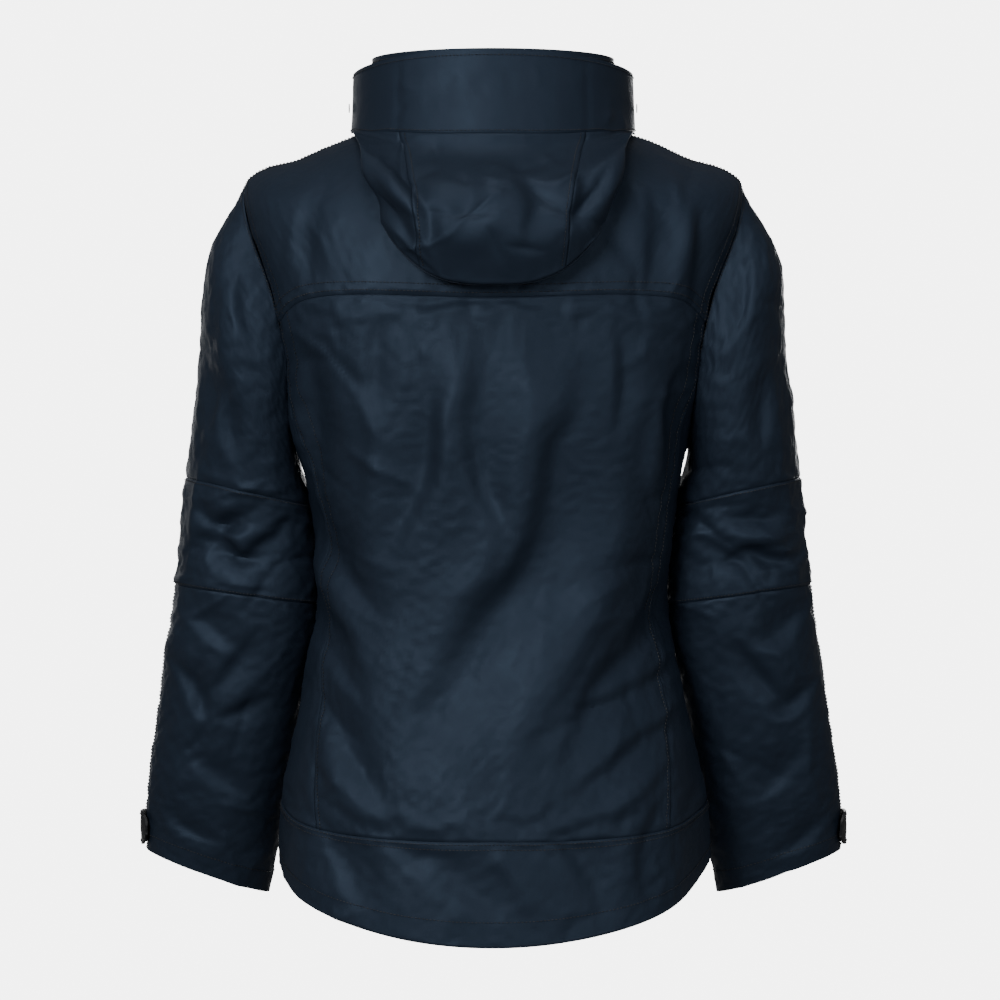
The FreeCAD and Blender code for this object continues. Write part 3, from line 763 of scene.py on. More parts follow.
def hood_pins(u, v, p):
    a = np.abs(u)
    weight = np.where(v < 1.0, 0.9, 0.15)
    weight = np.maximum(weight, near((v - 1.0) * HOOD_STEP, 4) * 0.98)
    weight = np.maximum(weight, near((v - 4.0) * POUCH_STEP, 5) * 0.98)
    weight = np.maximum(weight, near((a - hood_seam(v)) * HOOD_TURN, 3) * 0.93)
    return np.maximum(weight, near((a - 90) * HOOD_TURN, 6))


def hood_ease(u, v, p):
    return np.clip((v - 1.0) * 1.5, 0, 1)


# ---------------------------------------------------------------- panels
def spaced(length, cell, fine=True):
    """Shares from 0 to 1 along a length, closer together near both ends."""
    close = np.array([0.0, 0.7, 1.5, 2.5, 3.8, 5.4, 7.4, 9.8]) if fine else np.array([0.0])
    if length < close[-1] * 2 + cell * 2:
        return np.linspace(0, 1, max(int(length / 2.0), 3) + 1)
    count = max(int(round((length - 2 * close[-1]) / cell)), 1)
    middle = np.linspace(close[-1], length - close[-1], count + 1)
    return np.concatenate([close[:-1], middle, length - close[:-1][::-1]]) / length


def normals_of(surface, u, v):
    across = surface(u + 0.05, v) - surface(u - 0.05, v)
    along = surface(u, v + 0.01) - surface(u, v - 0.01)
    n = np.cross(across, along)
    n = n / np.maximum(np.linalg.norm(n, axis=-1, keepdims=True), 1e-9)
    out = surface(u, v) - surface.middle(v)
    return np.where((n * out).sum(-1, keepdims=True) < 0, -n, n)


def place(surface, u, v, folds, top=0.0):
    """Points on a surface with its folds, and the normals there."""
    p = surface(u, v)
    n = normals_of(surface, u, v)
    lift = top + (folds(u, v, p) if folds else 0.0)
    return p + n * np.broadcast_to(lift, u.shape)[..., None], n


SEAM_GAP = 0.12  # half the gap between two panels
SEAM_DIP, SEAM_DIP_REACH = 0.7, 1.1
RIDGE_HEIGHT, RIDGE_WIDTH = 0.55, 8.0
RIDGE_GROOVE, RIDGE_GROOVE_AT = 0.35, 6.0


def attach(obj, body, blend):
    """Rides on one body, or, with a blend given, is only baked into world space and rides on none."""
    if blend:
        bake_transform(obj)
    else:
        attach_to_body(obj, body)


class Panel:
    """A sewn panel between four edges: left, right, low (b) and high (t). seams are its sunk edges, and
    ridge the ones with a raised seam allowance under a topstitch."""

    def __init__(self, name, surface, left, right, low, high, folds=None, top=0.0, thick=1.1, cell=3.6,
                 seams="lrbt", ridge="", pucker=0.7, fine=True):
        self.name, self.surface, self.folds, self.top = name, surface, folds, top
        self.left, self.right, self.low, self.high = left, right, low, high
        track = np.linspace(0, 1, 25)
        self.wide = self.length_of(track, np.full(25, 0.5))
        self.tall = self.length_of(np.full(25, 0.5), track)
        s, t = spaced(self.wide, cell, fine), spaced(self.tall, cell, fine)
        es, et = SEAM_GAP / self.wide, SEAM_GAP / self.tall
        ss, tt = np.meshgrid(es + (1 - 2 * es) * s, et + (1 - 2 * et) * t, indexing="ij")
        u, v = self.where(ss, tt)
        base = surface(u, v)
        p, n = place(surface, u, v, folds, top)
        p = p + n * self.seam_shape(ss, tt, base, seams, ridge, pucker)[..., None]
        self.grid = p
        self.params = (ss, tt, u, v)
        self.thick = thick
        self.normal = self.grid_normals(p, n)

    def where(self, s, t):
        u = (self.left(np.zeros_like(s)) + self.right(np.zeros_like(s))) / 2
        v = np.full_like(s, 0.5)
        for _ in range(12):
            lo, hi = self.low(u), self.high(u)
            v = lo + (hi - lo) * t
            u = self.left(v) + (self.right(v) - self.left(v)) * s
        return u, v

    def length_of(self, s, t):
        p = self.surface(*self.where(s, t))
        return float(np.linalg.norm(np.diff(p, axis=0), axis=1).sum())

    @staticmethod
    def grid_normals(p, n):
        a = np.gradient(p, axis=0)
        b = np.gradient(p, axis=1)
        m = np.cross(a, b)
        m /= np.maximum(np.linalg.norm(m, axis=-1, keepdims=True), 1e-9)
        return np.where((m * n).sum(-1, keepdims=True) < 0, -m, m)

    def seam_shape(self, s, t, base, seams, ridge, pucker):
        """The dip at each seam, the puckers beside it, and the raised allowance under a topstitch."""
        distance = {"l": s * self.wide, "r": (1 - s) * self.wide,
                    "b": t * self.tall, "t": (1 - t) * self.tall}
        total = np.zeros_like(s)
        for side in seams:
            d = distance[side]
            along = base[..., 2] if side in "lr" else base[..., 0]
            waves = noise1(along / 9.0, 5) * 0.6 + noise1(along / 4.6, 6) * 0.35
            total = total - SEAM_DIP * near(d, SEAM_DIP_REACH)
            total = total + waves * pucker * np.exp(-d / 10.0) * (1 - near(d, 2.5))
        for side in ridge:
            d = distance[side]
            total = total + RIDGE_HEIGHT / (1 + np.exp((d - RIDGE_WIDTH) * 1.1)) * (1 - near(d, 1.3))
            total = total - RIDGE_GROOVE * near(d - RIDGE_GROOVE_AT, 1.0)
        return total

    def at(self, s, t, lift=0.0):
        """Points on the finished panel, by bilinear lookup in its grid, with its normals."""
        ss, tt = self.params[0][:, 0], self.params[1][0, :]
        s, t = np.clip(s, ss[0], ss[-1]), np.clip(t, tt[0], tt[-1])
        i = np.clip(np.searchsorted(ss, s) - 1, 0, len(ss) - 2)
        j = np.clip(np.searchsorted(tt, t) - 1, 0, len(tt) - 2)
        a = ((s - ss[i]) / (ss[i + 1] - ss[i]))[..., None]
        b = ((t - tt[j]) / (tt[j + 1] - tt[j]))[..., None]

        def mix(g):
            return (g[i, j] * (1 - a) * (1 - b) + g[i + 1, j] * a * (1 - b)
                    + g[i, j + 1] * (1 - a) * b + g[i + 1, j + 1] * a * b)

        n = mix(self.normal)
        n /= np.maximum(np.linalg.norm(n, axis=-1, keepdims=True), 1e-9)
        return mix(self.grid) + n * lift, n

    def build(self, material, slot, nodes, body, blend=None, hole=None):
        outer, inner = self.grid, self.grid - self.normal * self.thick
        rows, cols = outer.shape[:2]
        number = np.arange(rows * cols).reshape(rows, cols)
        a, b = number[:-1, :-1].ravel(), number[1:, :-1].ravel()
        c, d = number[1:, 1:].ravel(), number[:-1, 1:].ravel()
        top = np.stack([a, b, c, d], axis=1)
        if hole is not None:
            centre = outer.reshape(-1, 3)[top].mean(axis=1)
            top = top[~hole(centre)]
        face_normal = np.cross(outer.reshape(-1, 3)[top[0, 1]] - outer.reshape(-1, 3)[top[0, 0]],
                               outer.reshape(-1, 3)[top[0, 3]] - outer.reshape(-1, 3)[top[0, 0]])
        if face_normal @ self.normal.reshape(-1, 3)[top[0, 0]] < 0:
            top = top[:, ::-1]
        edges = {}
        for k in range(4):
            for p, q in zip(top[:, k].tolist(), top[:, (k + 1) % 4].tolist()):
                if edges.pop((q, p), None) is None:
                    edges[(p, q)] = True
        count = rows * cols
        walls = np.array([[q, p, p + count, q + count] for p, q in edges])
        faces = np.concatenate([top, top[:, ::-1] + count, walls])
        points = np.concatenate([outer.reshape(-1, 3), inner.reshape(-1, 3)])
        uv = np.stack([self.params[0] * self.wide, self.params[1] * self.tall], axis=-1).reshape(-1, 2)
        obj = mesh_object(self.name, points, faces, material, uv=np.concatenate([uv, uv]))
        attach(obj, body, blend)
        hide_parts(*nodes)


def mesh_object(name, points, faces, material, uv=None, sharp=48):
    used = np.unique(faces)
    lookup = np.full(len(points), -1)
    lookup[used] = np.arange(len(used))
    faces = lookup[faces]
    mesh = bpy.data.meshes.new(name)
    mesh.from_pydata((points[used] / 1000.0).tolist(), [], faces.tolist())
    if uv is not None:
        layer = mesh.uv_layers.new(name="cloth")
        loops = np.empty(len(mesh.loops), dtype=np.int32)
        mesh.loops.foreach_get("vertex_index", loops)
        layer.data.foreach_set("uv", (uv[used][loops] / 1000.0).astype(np.float32).ravel())
    mesh.polygons.foreach_set("use_smooth", [True] * len(mesh.polygons))
    mesh.set_sharp_from_angle(angle=math.radians(sharp))
    mesh.materials.append(material)
    mesh.update()
    obj = bpy.data.objects.new(name, mesh)
    bpy.context.scene.collection.objects.link(obj)
    return obj


# ---------------------------------------------------------------- stitches
STITCH = 2.3
STITCH_PITCH = 3.3
STITCH_RINGS = [  # share of the stitch's length, lift, radius
    (0.0, -0.1, 0.18),
    (0.2, 0.28, 0.36),
    (0.5, 0.42, 0.42),
    (0.8, 0.28, 0.36),
    (1.0, -0.1, 0.18),
]
STITCH_SIDES = 5


def stitches(points, normals):
    """A row of stitches along a line: each is a short thread that rises in the middle."""
    step = np.linalg.norm(np.diff(points, axis=0), axis=1)
    track = np.concatenate([[0], np.cumsum(step)])
    starts = np.arange(1.0, track[-1] - STITCH - 0.5, STITCH_PITCH)
    made_points, made_faces = [], []
    if not len(starts):
        return np.zeros((0, 3)), np.zeros((0, 4), int)

    def sample(values, at):
        return np.stack([np.interp(at, track, values[:, k]) for k in range(3)], axis=-1)

    for share, lift, r in STITCH_RINGS:
        at = starts + share * STITCH
        p, n = sample(points, at), sample(normals, at)
        ahead = sample(points, at + 0.4) - p
        ahead /= np.maximum(np.linalg.norm(ahead, axis=1, keepdims=True), 1e-6)
        across = np.cross(n, ahead)
        for turn in range(STITCH_SIDES):
            angle = math.tau * turn / STITCH_SIDES
            made_points.append(p + n * (lift + r * math.sin(angle)) + across * (r * math.cos(angle)))
    rings, count = len(STITCH_RINGS), len(starts)
    number = np.arange(rings * STITCH_SIDES * count).reshape(rings, STITCH_SIDES, count)
    for k in range(rings - 1):
        for turn in range(STITCH_SIDES):
            after = (turn + 1) % STITCH_SIDES
            made_faces.append(np.stack([number[k, turn], number[k, after], number[k + 1, after],
                                        number[k + 1, turn]], axis=1))
    return np.concatenate(made_points), np.concatenate(made_faces)


class Thread:
    """All the stitching of one body, as one piece."""

    def __init__(self, name, body=None, blend=None):
        self.name, self.body, self.blend = name, body, blend
        self.points, self.faces, self.count = [], [], 0

    def row(self, panel, side, inset, start=0.0, stop=1.0):
        """A row parallel to one edge of a panel."""
        length = panel.tall if side in "lr" else panel.wide
        track = np.linspace(start, stop, max(int(length / 2.5), 4))
        offset = inset / (panel.wide if side in "lr" else panel.tall)
        across = offset if side in "lb" else 1 - offset
        if side in "lr":
            p, n = panel.at(np.full_like(track, across), track, 0.1)
        else:
            p, n = panel.at(track, np.full_like(track, across), 0.1)
        self.line(p, n)

    def line(self, p, n):
        points, faces = stitches(p, n)
        if len(points):
            self.points.append(points)
            self.faces.append(faces + self.count)
            self.count += len(points)

    def build(self, material):
        obj = mesh_object(self.name, np.concatenate(self.points), np.concatenate(self.faces), material)
        attach(obj, self.body, self.blend)


# ---------------------------------------------------------------- materials
class Nodes:
    """A material with a Principled shader, and short ways to add nodes to it."""

    def __init__(self, name, **sockets):
        self.material = bpy.data.materials.new(name)
        self.material.use_nodes = True
        self.tree = self.material.node_tree
        self.shader = self.tree.nodes["Principled BSDF"]
        for key, value in sockets.items():
            self.shader.inputs[key.replace("_", " ")].default_value = value

    def add(self, kind, inputs=None, **settings):
        node = self.tree.nodes.new(kind)
        for key, value in settings.items():
            setattr(node, key, value)
        for key, value in (inputs or {}).items():
            if isinstance(value, bpy.types.NodeSocket):
                self.tree.links.new(value, node.inputs[key])
            else:
                node.inputs[key].default_value = value
        return node

    def math(self, operation, a, b=0.0):
        return self.add("ShaderNodeMath", {0: a, 1: b}, operation=operation).outputs[0]

    def noise(self, where, scale, detail=3.0, roughness=0.55):
        node = self.add("ShaderNodeTexNoise", {"Vector": where, "Scale": scale, "Detail": detail,
                                               "Roughness": roughness})
        return node.outputs["Fac"]

    def ramp(self, value, low, high, low_value, high_value):
        node = self.add("ShaderNodeMapRange", {"Value": value, "From Min": low, "From Max": high,
                                               "To Min": low_value, "To Max": high_value})
        return node.outputs["Result"]

    def mix(self, factor, a, b):
        node = self.add("ShaderNodeMix", data_type="RGBA")
        self.tree.links.new(factor, node.inputs["Factor"])
        node.inputs[6].default_value = (*a, 1)
        node.inputs[7].default_value = (*b, 1)
        return node.outputs[2]

    def where(self):
        return self.add("ShaderNodeTexCoord").outputs["Object"]

    def bump(self, height, strength, distance, **more):
        inputs = {"Height": height, "Strength": strength, "Distance": distance, **more}
        return self.add("ShaderNodeBump", inputs).outputs["Normal"]

    def link(self, output, socket):
        self.tree.links.new(output, self.shader.inputs[socket])


def woven(name, dark, light, roughness, pitch=0.55, bump=0.25, sheen=0.15):
    """Cloth with crossing threads, pitch in millimetres, uneven colour and soft wear."""
    m = Nodes(name, Sheen_Weight=sheen, Sheen_Roughness=0.45, IOR=1.42, Specular_IOR_Level=0.3)
    m.shader.inputs["Sheen Tint"].default_value = (0.55, 0.65, 0.85, 1)
    m.shader.inputs["Specular Tint"].default_value = (0.5, 0.7, 1.0, 1)
    uv = m.add("ShaderNodeUVMap", uv_map="cloth").outputs["UV"]
    where = m.where()
    split = m.add("ShaderNodeSeparateXYZ", {"Vector": uv})
    wander = m.ramp(m.noise(uv, 900.0), 0, 1, -0.35, 0.35)
    turn = math.tau / (pitch / 1000.0)
    warp = m.math("SINE", m.math("ADD", m.math("MULTIPLY", split.outputs["X"], turn), wander))
    weft = m.math("SINE", m.math("ADD", m.math("MULTIPLY", split.outputs["Y"], turn), wander))
    weave = m.math("MULTIPLY", warp, weft)
    stretched = m.add("ShaderNodeVectorMath", {0: uv, 1: (1.0, 0.08, 1.0)}, operation="MULTIPLY")
    slub = m.noise(stretched.outputs[0], 2600.0, 2.0)
    cloud = m.noise(where, 14.0, 4.0)
    shade = m.math("ADD", m.math("MULTIPLY", cloud, 0.55), m.math("MULTIPLY", slub, 0.3))
    shade = m.math("ADD", shade, m.math("MULTIPLY", weave, 0.07))
    m.link(m.mix(m.ramp(shade, 0.2, 0.75, 0.0, 1.0), dark, light), "Base Color")
    rough = m.math("ADD", m.ramp(m.noise(where, 32.0), 0.3, 0.7, roughness - 0.05, roughness + 0.06),
                   m.math("MULTIPLY", weave, 0.04))
    m.link(rough, "Roughness")
    height = m.math("ADD", m.math("MULTIPLY", weave, 0.5), m.math("MULTIPLY", slub, 0.6))
    fine = m.bump(height, bump, 0.00012)
    m.link(m.bump(m.noise(where, 95.0, 5.0, 0.6), 0.22, 0.0011, Normal=fine), "Normal")
    return m.material


def fleece(name, dark, light):
    """A pile of short tufts."""
    m = Nodes(name, Sheen_Weight=0.6, Sheen_Roughness=0.6, Roughness=0.95, IOR=1.35)
    where = m.where()
    tufts = m.add("ShaderNodeTexVoronoi", {"Vector": where, "Scale": 620.0}).outputs["Distance"]
    cloud = m.noise(where, 150.0, 5.0, 0.7)
    shade = m.math("ADD", m.math("MULTIPLY", tufts, 0.5), cloud)
    m.link(m.mix(m.ramp(shade, 0.3, 1.0, 0, 1), dark, light), "Base Color")
    height = m.math("ADD", m.math("MULTIPLY", tufts, -0.7), cloud)
    m.link(m.bump(height, 0.8, 0.0012), "Normal")
    return m.material


def moulded(name, dark, light, roughness, grain=900.0):
    """Hard plastic with a fine grain and scuffs."""
    m = Nodes(name, IOR=1.48)
    where = m.where()
    grit = m.noise(where, grain, 4.0, 0.6)
    scuff = m.noise(where, 140.0, 6.0, 0.7)
    m.link(m.mix(m.ramp(scuff, 0.35, 0.7, 0.0, 1.0), dark, light), "Base Color")
    m.link(m.ramp(scuff, 0.3, 0.75, roughness - 0.08, roughness + 0.12), "Roughness")
    m.link(m.bump(grit, 0.3, 0.00015), "Normal")
    return m.material


def ribbed_tape(name, dark, light):
    """Woven tape, with ribs along the object's own axes."""
    m = Nodes(name, Roughness=0.8, Sheen_Weight=0.2, IOR=1.4)
    where = m.where()
    split = m.add("ShaderNodeSeparateXYZ", {"Vector": where})
    rib = m.math("SINE", m.math("MULTIPLY", split.outputs["Z"], math.tau / 0.0011))
    cord = m.math("SINE", m.math("MULTIPLY", split.outputs["X"], math.tau / 0.0009))
    weave = m.math("MULTIPLY", rib, cord)
    cloud = m.noise(where, 60.0, 4.0)
    shade = m.math("ADD", cloud, m.math("MULTIPLY", weave, 0.15))
    m.link(m.mix(m.ramp(shade, 0.3, 0.8, 0, 1), dark, light), "Base Color")
    m.link(m.bump(weave, 0.5, 0.0002), "Normal")
    return m.material


SHELL = woven("navy_shell", (0.0090, 0.0135, 0.0225), (0.0125, 0.0182, 0.0295), 0.52, sheen=0.0)
INSIDE = woven("navy_coated_back", (0.014, 0.019, 0.030), (0.020, 0.027, 0.041), 0.62, bump=0.15)
LINING = woven("navy_mesh_lining", (0.018, 0.024, 0.038), (0.034, 0.043, 0.062), 0.8, pitch=1.6, bump=0.6)
FLEECE = fleece("navy_fleece", (0.012, 0.017, 0.027), (0.030, 0.038, 0.055))
THREAD = moulded("navy_thread", (0.0025, 0.0035, 0.006), (0.005, 0.007, 0.011), 0.6, 2400.0)
RUBBER = moulded("black_tab", (0.006, 0.0065, 0.008), (0.010, 0.011, 0.013), 0.5)
HOOKS = fleece("black_hook_and_loop", (0.006, 0.007, 0.009), (0.018, 0.019, 0.022))
TEETH = moulded("navy_teeth", (0.012, 0.016, 0.026), (0.018, 0.023, 0.036), 0.35)
SLIDER = moulded("black_slider", (0.010, 0.011, 0.013), (0.030, 0.031, 0.034), 0.32)
TAPE = ribbed_tape("navy_tape", (0.010, 0.014, 0.023), (0.018, 0.024, 0.037))


# ---------------------------------------------------------------- settled cloth
def settle(name, surface, us, vs, folds, *options, **more):
    return Settled(name, surface, us, vs, folds, *options, **more)


def settled_sleeve(side):
    def folds(u, v, p):
        return sleeve_folds(side, u, v, p)

    return settle(f"sleeve_cloth_{side}", sleeves[side], np.linspace(-180, 180, 91), np.linspace(0, 7, 136),
                  folds, sleeve_pins, sleeve_ease, grow=(0.006, 0.095))


torso_lift = settle("torso_cloth", torso, np.linspace(-178, 178, 240), np.linspace(0, 9, 156), torso_folds,
                    torso_pins, torso_ease, grow=(0.006, 0.085))
sleeve_lifts = {side: settled_sleeve(side) for side in ("left", "right")}
hood_lift = settle("hood_cloth", hood, np.linspace(-90, 90, 91), np.linspace(0, 4, 72), hood_folds, hood_pins,
                   hood_ease, grow=(0.0, 0.13), cap=7.0)


def torso_cloth(angle, v, p):
    """The settled cloth with its fine creases, at a panel's own fineness."""
    x, z = p[..., 0], p[..., 2]
    behind, before = halves(cos_d(angle), 4, 0.3)
    fine = strokes(x, z, BACK_CREASES, 6) * behind + strokes(x, z, FRONT_CREASES, 7) * before
    return torso_lift(angle, v, p) + fine


def sleeve_cloth(side, angle, v, p):
    x, z = p[..., 0] * (1 if side == "left" else -1), p[..., 2]
    behind, before = halves(sin_d(angle), 3, 0.4)
    fine = strokes(x, z, SLEEVE_CREASES[side, "back"], 8) * behind
    fine = fine + strokes(x, z, SLEEVE_CREASES[side, "front"], 9) * before
    turned = np.mod(np.asarray(angle) + 180, 360) - 180
    return sleeve_lifts[side](turned, v, p) + fine * np.clip(np.asarray(v) * 1.4, 0, 1)


def hood_cloth(angle, v, p):
    fine = strokes(p[..., 0], p[..., 2], HOOD_CREASES, 10) * np.clip((np.asarray(v) - 1.0) * 3, 0, 1)
    return hood_lift(angle, v, p) + fine


# ---------------------------------------------------------------- body of the jacket
jacket_thread = Thread("stitching_jacket", body="jacket")
POCKET_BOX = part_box("pocket_zip_left")
POCKET_TAPE = 5.9  # half the pocket zip's width
POCKET_OPENING = 4.6  # half the slot's width


def in_pocket(centres):
    """Where a front panel is open over a hand pocket's zip."""
    lo, hi = (np.array(c) * 1000 for c in POCKET_BOX)
    x, z = centres[:, 0], centres[:, 2]
    share = np.clip((z - lo[2]) / (hi[2] - lo[2]), 0, 1)
    foot, head = hi[0] - POCKET_TAPE, lo[0] + POCKET_TAPE
    middle = foot + (head - foot) * share
    inside = (z > lo[2] + 1) & (z < hi[2] - 1)
    return inside & (np.abs(np.abs(x) - np.abs(middle)) < POCKET_OPENING)


def hem(a):
    return hem_seam(np.abs(a))


def yoke(a):
    return yoke_seam(np.abs(a))


def negative(function):
    return lambda x: -function(x)


def low_hole(a):
    return hole_low(np.abs(a))


def shell_panels():
    zero, neck = flat(0), flat(9)
    made = {
        "back_hem_panel": Panel("back_hem_panel_cloth", torso, negative(front_seam), front_seam, zero, hem,
                                torso_cloth, ridge="t"),
        "back_panel": Panel("back_panel_cloth", torso, negative(back_edge), back_edge, hem, yoke, torso_cloth,
                            ridge="lr", pucker=1.0, cell=3.2),
        "back_yoke": Panel("back_yoke_cloth", torso, negative(hole_back), hole_back, yoke, neck, torso_cloth,
                           ridge="b", pucker=0.8, cell=3.4),
    }
    for side, way in (("left", lambda edge: edge), ("right", negative)):
        node = f"side_panel_{side}"
        made[node] = Panel(f"{node}_cloth", torso, way(back_seam), way(front_seam), hem, low_hole,
                           torso_cloth, pucker=0.8)
        node = f"front_panel_{side}"
        made[node] = Panel(f"{node}_cloth", torso, way(front_edge), way(zip_edge), zero, neck, torso_cloth,
                           ridge="l", cell=3.4)
    for node, panel in made.items():
        hole = in_pocket if node.startswith("front_panel") else None
        panel.build(SHELL, "shell", [node], "jacket", hole=hole)
    topstitch(made)


EDGE_ROW, SECOND_ROW = 2.6, 7.2  # how far rows of stitches lie from a seam
LONG_ROW, TAPE_ROW = 6.4, 21.0
HEM_DEPTH = 22.0


def topstitch(made):
    rows = jacket_thread
    for node, edge in (("back_yoke", "b"), ("back_hem_panel", "t")):
        for inset in (EDGE_ROW, SECOND_ROW):
            rows.row(made[node], edge, inset)
    rows.row(made["back_hem_panel"], "b", HEM_DEPTH)
    for side in "lr":
        rows.row(made["back_panel"], side, LONG_ROW)
        rows.row(made["back_yoke"], side, LONG_ROW, 0.0, 0.92)
        rows.row(made["back_panel"], side, TAPE_ROW, 0.42, 1.0)
        rows.row(made["back_yoke"], side, TAPE_ROW, 0.0, 0.8)
    for side in ("left", "right"):
        for edge, inset in (("b", HEM_DEPTH), ("r", 5.0), ("l", LONG_ROW)):
            rows.row(made[f"front_panel_{side}"], edge, inset)


def inner_torso():
    def back(v):
        return np.where(v < 5.0, 89.0, np.minimum(89.0, hole_back(v) - 2))

    def front(v):
        return np.where(v < 5.0, 91.0, np.maximum(91.0, hole_front(v) + 2))

    def stop(v):
        return 180 - np.degrees(np.arcsin(28 / torso.width(v)))

    def lining(name, left, right):
        Panel(f"{name}_cloth", torso, left, right, flat(0.5), flat(8.9), lining_folds, top=-7.0, thick=0.8,
              cell=7.0, fine=False).build(LINING, "lining", [name], "jacket")

    lining("lining_back", negative(back), back)
    lining("lining_front_left", front, stop)
    lining("lining_front_right", negative(front), negative(stop))
    Panel("hem_facing_cloth", torso, flat(-175), flat(175), flat(0.02), flat(0.34), torso_lift, top=-2.6,
          thick=0.7, cell=4.5, fine=False).build(INSIDE, "shell_inside", ["hem_facing"], "jacket")


def lining_folds(angle, v, p):
    return torso_lift(angle, v, p) * 0.85 + noise3(p, 42, 21) * 0.6


def collar_folds(angle, v, p):
    return crinkle(p + 40, 0.35) * np.sin(np.pi * np.clip(v, 0.02, 0.98))


def collars():
    edge = 180 - math.degrees(math.asin(ZIP_OPENING / 106))
    outer = Panel("collar_outer_cloth", collar, flat(-edge), flat(edge), flat(0), flat(1), collar_folds,
                  thick=1.4, seams="b", cell=3.6)
    outer.build(SHELL, "shell", ["collar_outer"], "jacket")
    jacket_thread.row(outer, "t", 5.0)
    jacket_thread.row(outer, "b", 3.0)
    edge = 180 - math.degrees(math.asin(25 / 106))
    lining = Panel("collar_lining_fleece", collar, flat(-edge), flat(edge), flat(0.02), flat(0.985),
                   collar_folds, top=-1.8, thick=2.8, cell=4.0, seams="", fine=False)
    lining.build(FLEECE, "fleece", ["collar_lining"], "jacket")


# ---------------------------------------------------------------- sleeves
def joint_at(name):
    joint = next(j for j in frame["record"]["behaviour"]["joints"] if j["name"] == name)
    return np.array(joint["pos_m"])


ELBOW_SPAN = 0.058  # metres each side of the elbow's axis, kept in the sleeve's blend


def sleeve_parts(side):
    surface = sleeves[side]
    pivot = joint_at(f"elbow_{side}_bend")
    span = np.array([0, 0, ELBOW_SPAN])
    bend = ("jacket", f"forearm_{side}", tuple(pivot + span), tuple(pivot - span))
    thread = Thread(f"stitching_sleeve_{side}", blend=bend)

    def folds(angle, v, p):
        return sleeve_cloth(side, angle, v, p)

    for kind, low, high in (("upper_sleeve", 0.012, ELBOW_TOP), ("elbow_panel", ELBOW_TOP, ELBOW_BOTTOM),
                            ("lower_sleeve", ELBOW_BOTTOM, CUFF_END)):
        for half, start, stop in (("back", 0, 180), ("front", 180, 360)):
            node = f"{kind}_{half}_{side}"
            panel = Panel(f"{node}_cloth", surface, flat(start), flat(stop), flat(low), flat(high), folds,
                          seams="lrb" if kind == "lower_sleeve" else "lrbt",
                          ridge="bt" if kind == "elbow_panel" else "",
                          pucker=1.0 if half == "back" else 0.8, cell=2.7)
            panel.build(SHELL, "shell", [node], None, blend=bend)
            outer_edge = "l" if half == "back" else "r"
            rows = {"upper_sleeve": [("b", 2.4)], "elbow_panel": [("b", 2.4), ("t", 2.4)],
                    "lower_sleeve": [("t", 22.0), (outer_edge, 5.0)]}
            for edge, inset in rows[kind]:
                thread.row(panel, edge, inset)
    thread.build(THREAD)
    cuff(side, surface, folds)


def cuff(side, surface, folds):
    """The facing inside, the loop patch, and the tab with its hook patch."""
    forearm, tab_body = f"forearm_{side}", f"cuff_tab_{side}"
    facing = Panel(f"cuff_facing_{side}_cloth", surface, flat(-176), flat(176), flat(CUFF_SEAM),
                   flat(CUFF_END), folds, top=-2.4, thick=0.7, cell=4.5, fine=False)
    facing.build(INSIDE, "shell_inside", [f"cuff_facing_{side}"], forearm)
    patch = dict(thick=1.2, seams="", fine=False, cell=3)
    loops = Panel(f"cuff_loop_patch_{side}_pile", surface, flat(-78), flat(6), flat(6.48), flat(6.84), folds,
                  top=1.5, **patch)
    loops.build(HOOKS, "hook_and_loop", [f"cuff_loop_patch_{side}"], forearm)

    def round_end(a):
        return 0.16 * np.maximum(0, (a - 8) / 17) ** 3

    low, high = (lambda a: 6.42 + round_end(a)), (lambda a: 6.92 - round_end(a))
    tab = Panel(f"cuff_tab_{side}_rubber", surface, flat(-84), flat(25), low, high, folds, top=5.6, thick=2.2,
                seams="", cell=2.4, fine=False)
    tab.build(RUBBER, "tab", [f"cuff_tab_{side}"], tab_body)
    thread = Thread(f"stitching_tab_{side}", body=tab_body)
    for edge in "lbt":
        thread.row(tab, edge, 3.0, 0.05, 0.9)
    thread.build(THREAD)
    hooks = Panel(f"cuff_hook_patch_{side}_pile", surface, flat(-40), flat(4), flat(6.5), flat(6.82), folds,
                  top=3.2, **patch)
    hooks.build(HOOKS, "hook_and_loop", [f"cuff_hook_patch_{side}"], tab_body)


# ---------------------------------------------------------------- hood
def hoods():
    seam, end = hood_seam, curve(HOOD_END)
    thread = Thread("stitching_hood", body="hood")
    brim = Panel("hood_brim_cloth", hood, flat(-90), flat(90), flat(0), brim_edge, brim_folds, thick=2.6,
                 seams="t", cell=3.2, pucker=0.5)
    brim.build(SHELL, "shell", ["hood_brim"], "hood")
    thread.row(brim, "t", 3.0)
    thread.row(brim, "b", 4.0)
    centre = Panel("hood_centre_panel_cloth", hood, negative(seam), seam, flat(1.0), flat(4.0), hood_cloth,
                   ridge="lr", cell=2.4, pucker=1.0)
    centre.build(SHELL, "shell", ["hood_centre_panel"], "hood")
    for side, edges in (("left", (seam, end)), ("right", (negative(seam), negative(end)))):
        panel = Panel(f"hood_side_panel_{side}_cloth", hood, *edges, flat(1.0), flat(4.0), hood_cloth,
                      cell=2.4, pucker=1.0)
        panel.build(SHELL, "shell", [f"hood_side_panel_{side}"], "hood")
    for side in "lr":
        thread.row(centre, side, 5.4)
    thread.build(THREAD)
    under = Panel("hood_under_layer_cloth", hood_under, flat(-80), flat(80), flat(0), flat(1), None,
                  thick=1.2, cell=5.0, fine=False)
    under.build(INSIDE, "shell_inside", ["hood_under_layer"], "hood")


def brim_edge(angle):
    """The brim's lower edge laps over the side panels, where they turn away from it."""
    return 1.0 + 0.06 * np.clip((np.abs(angle) - 46) / 10, 0, 1)


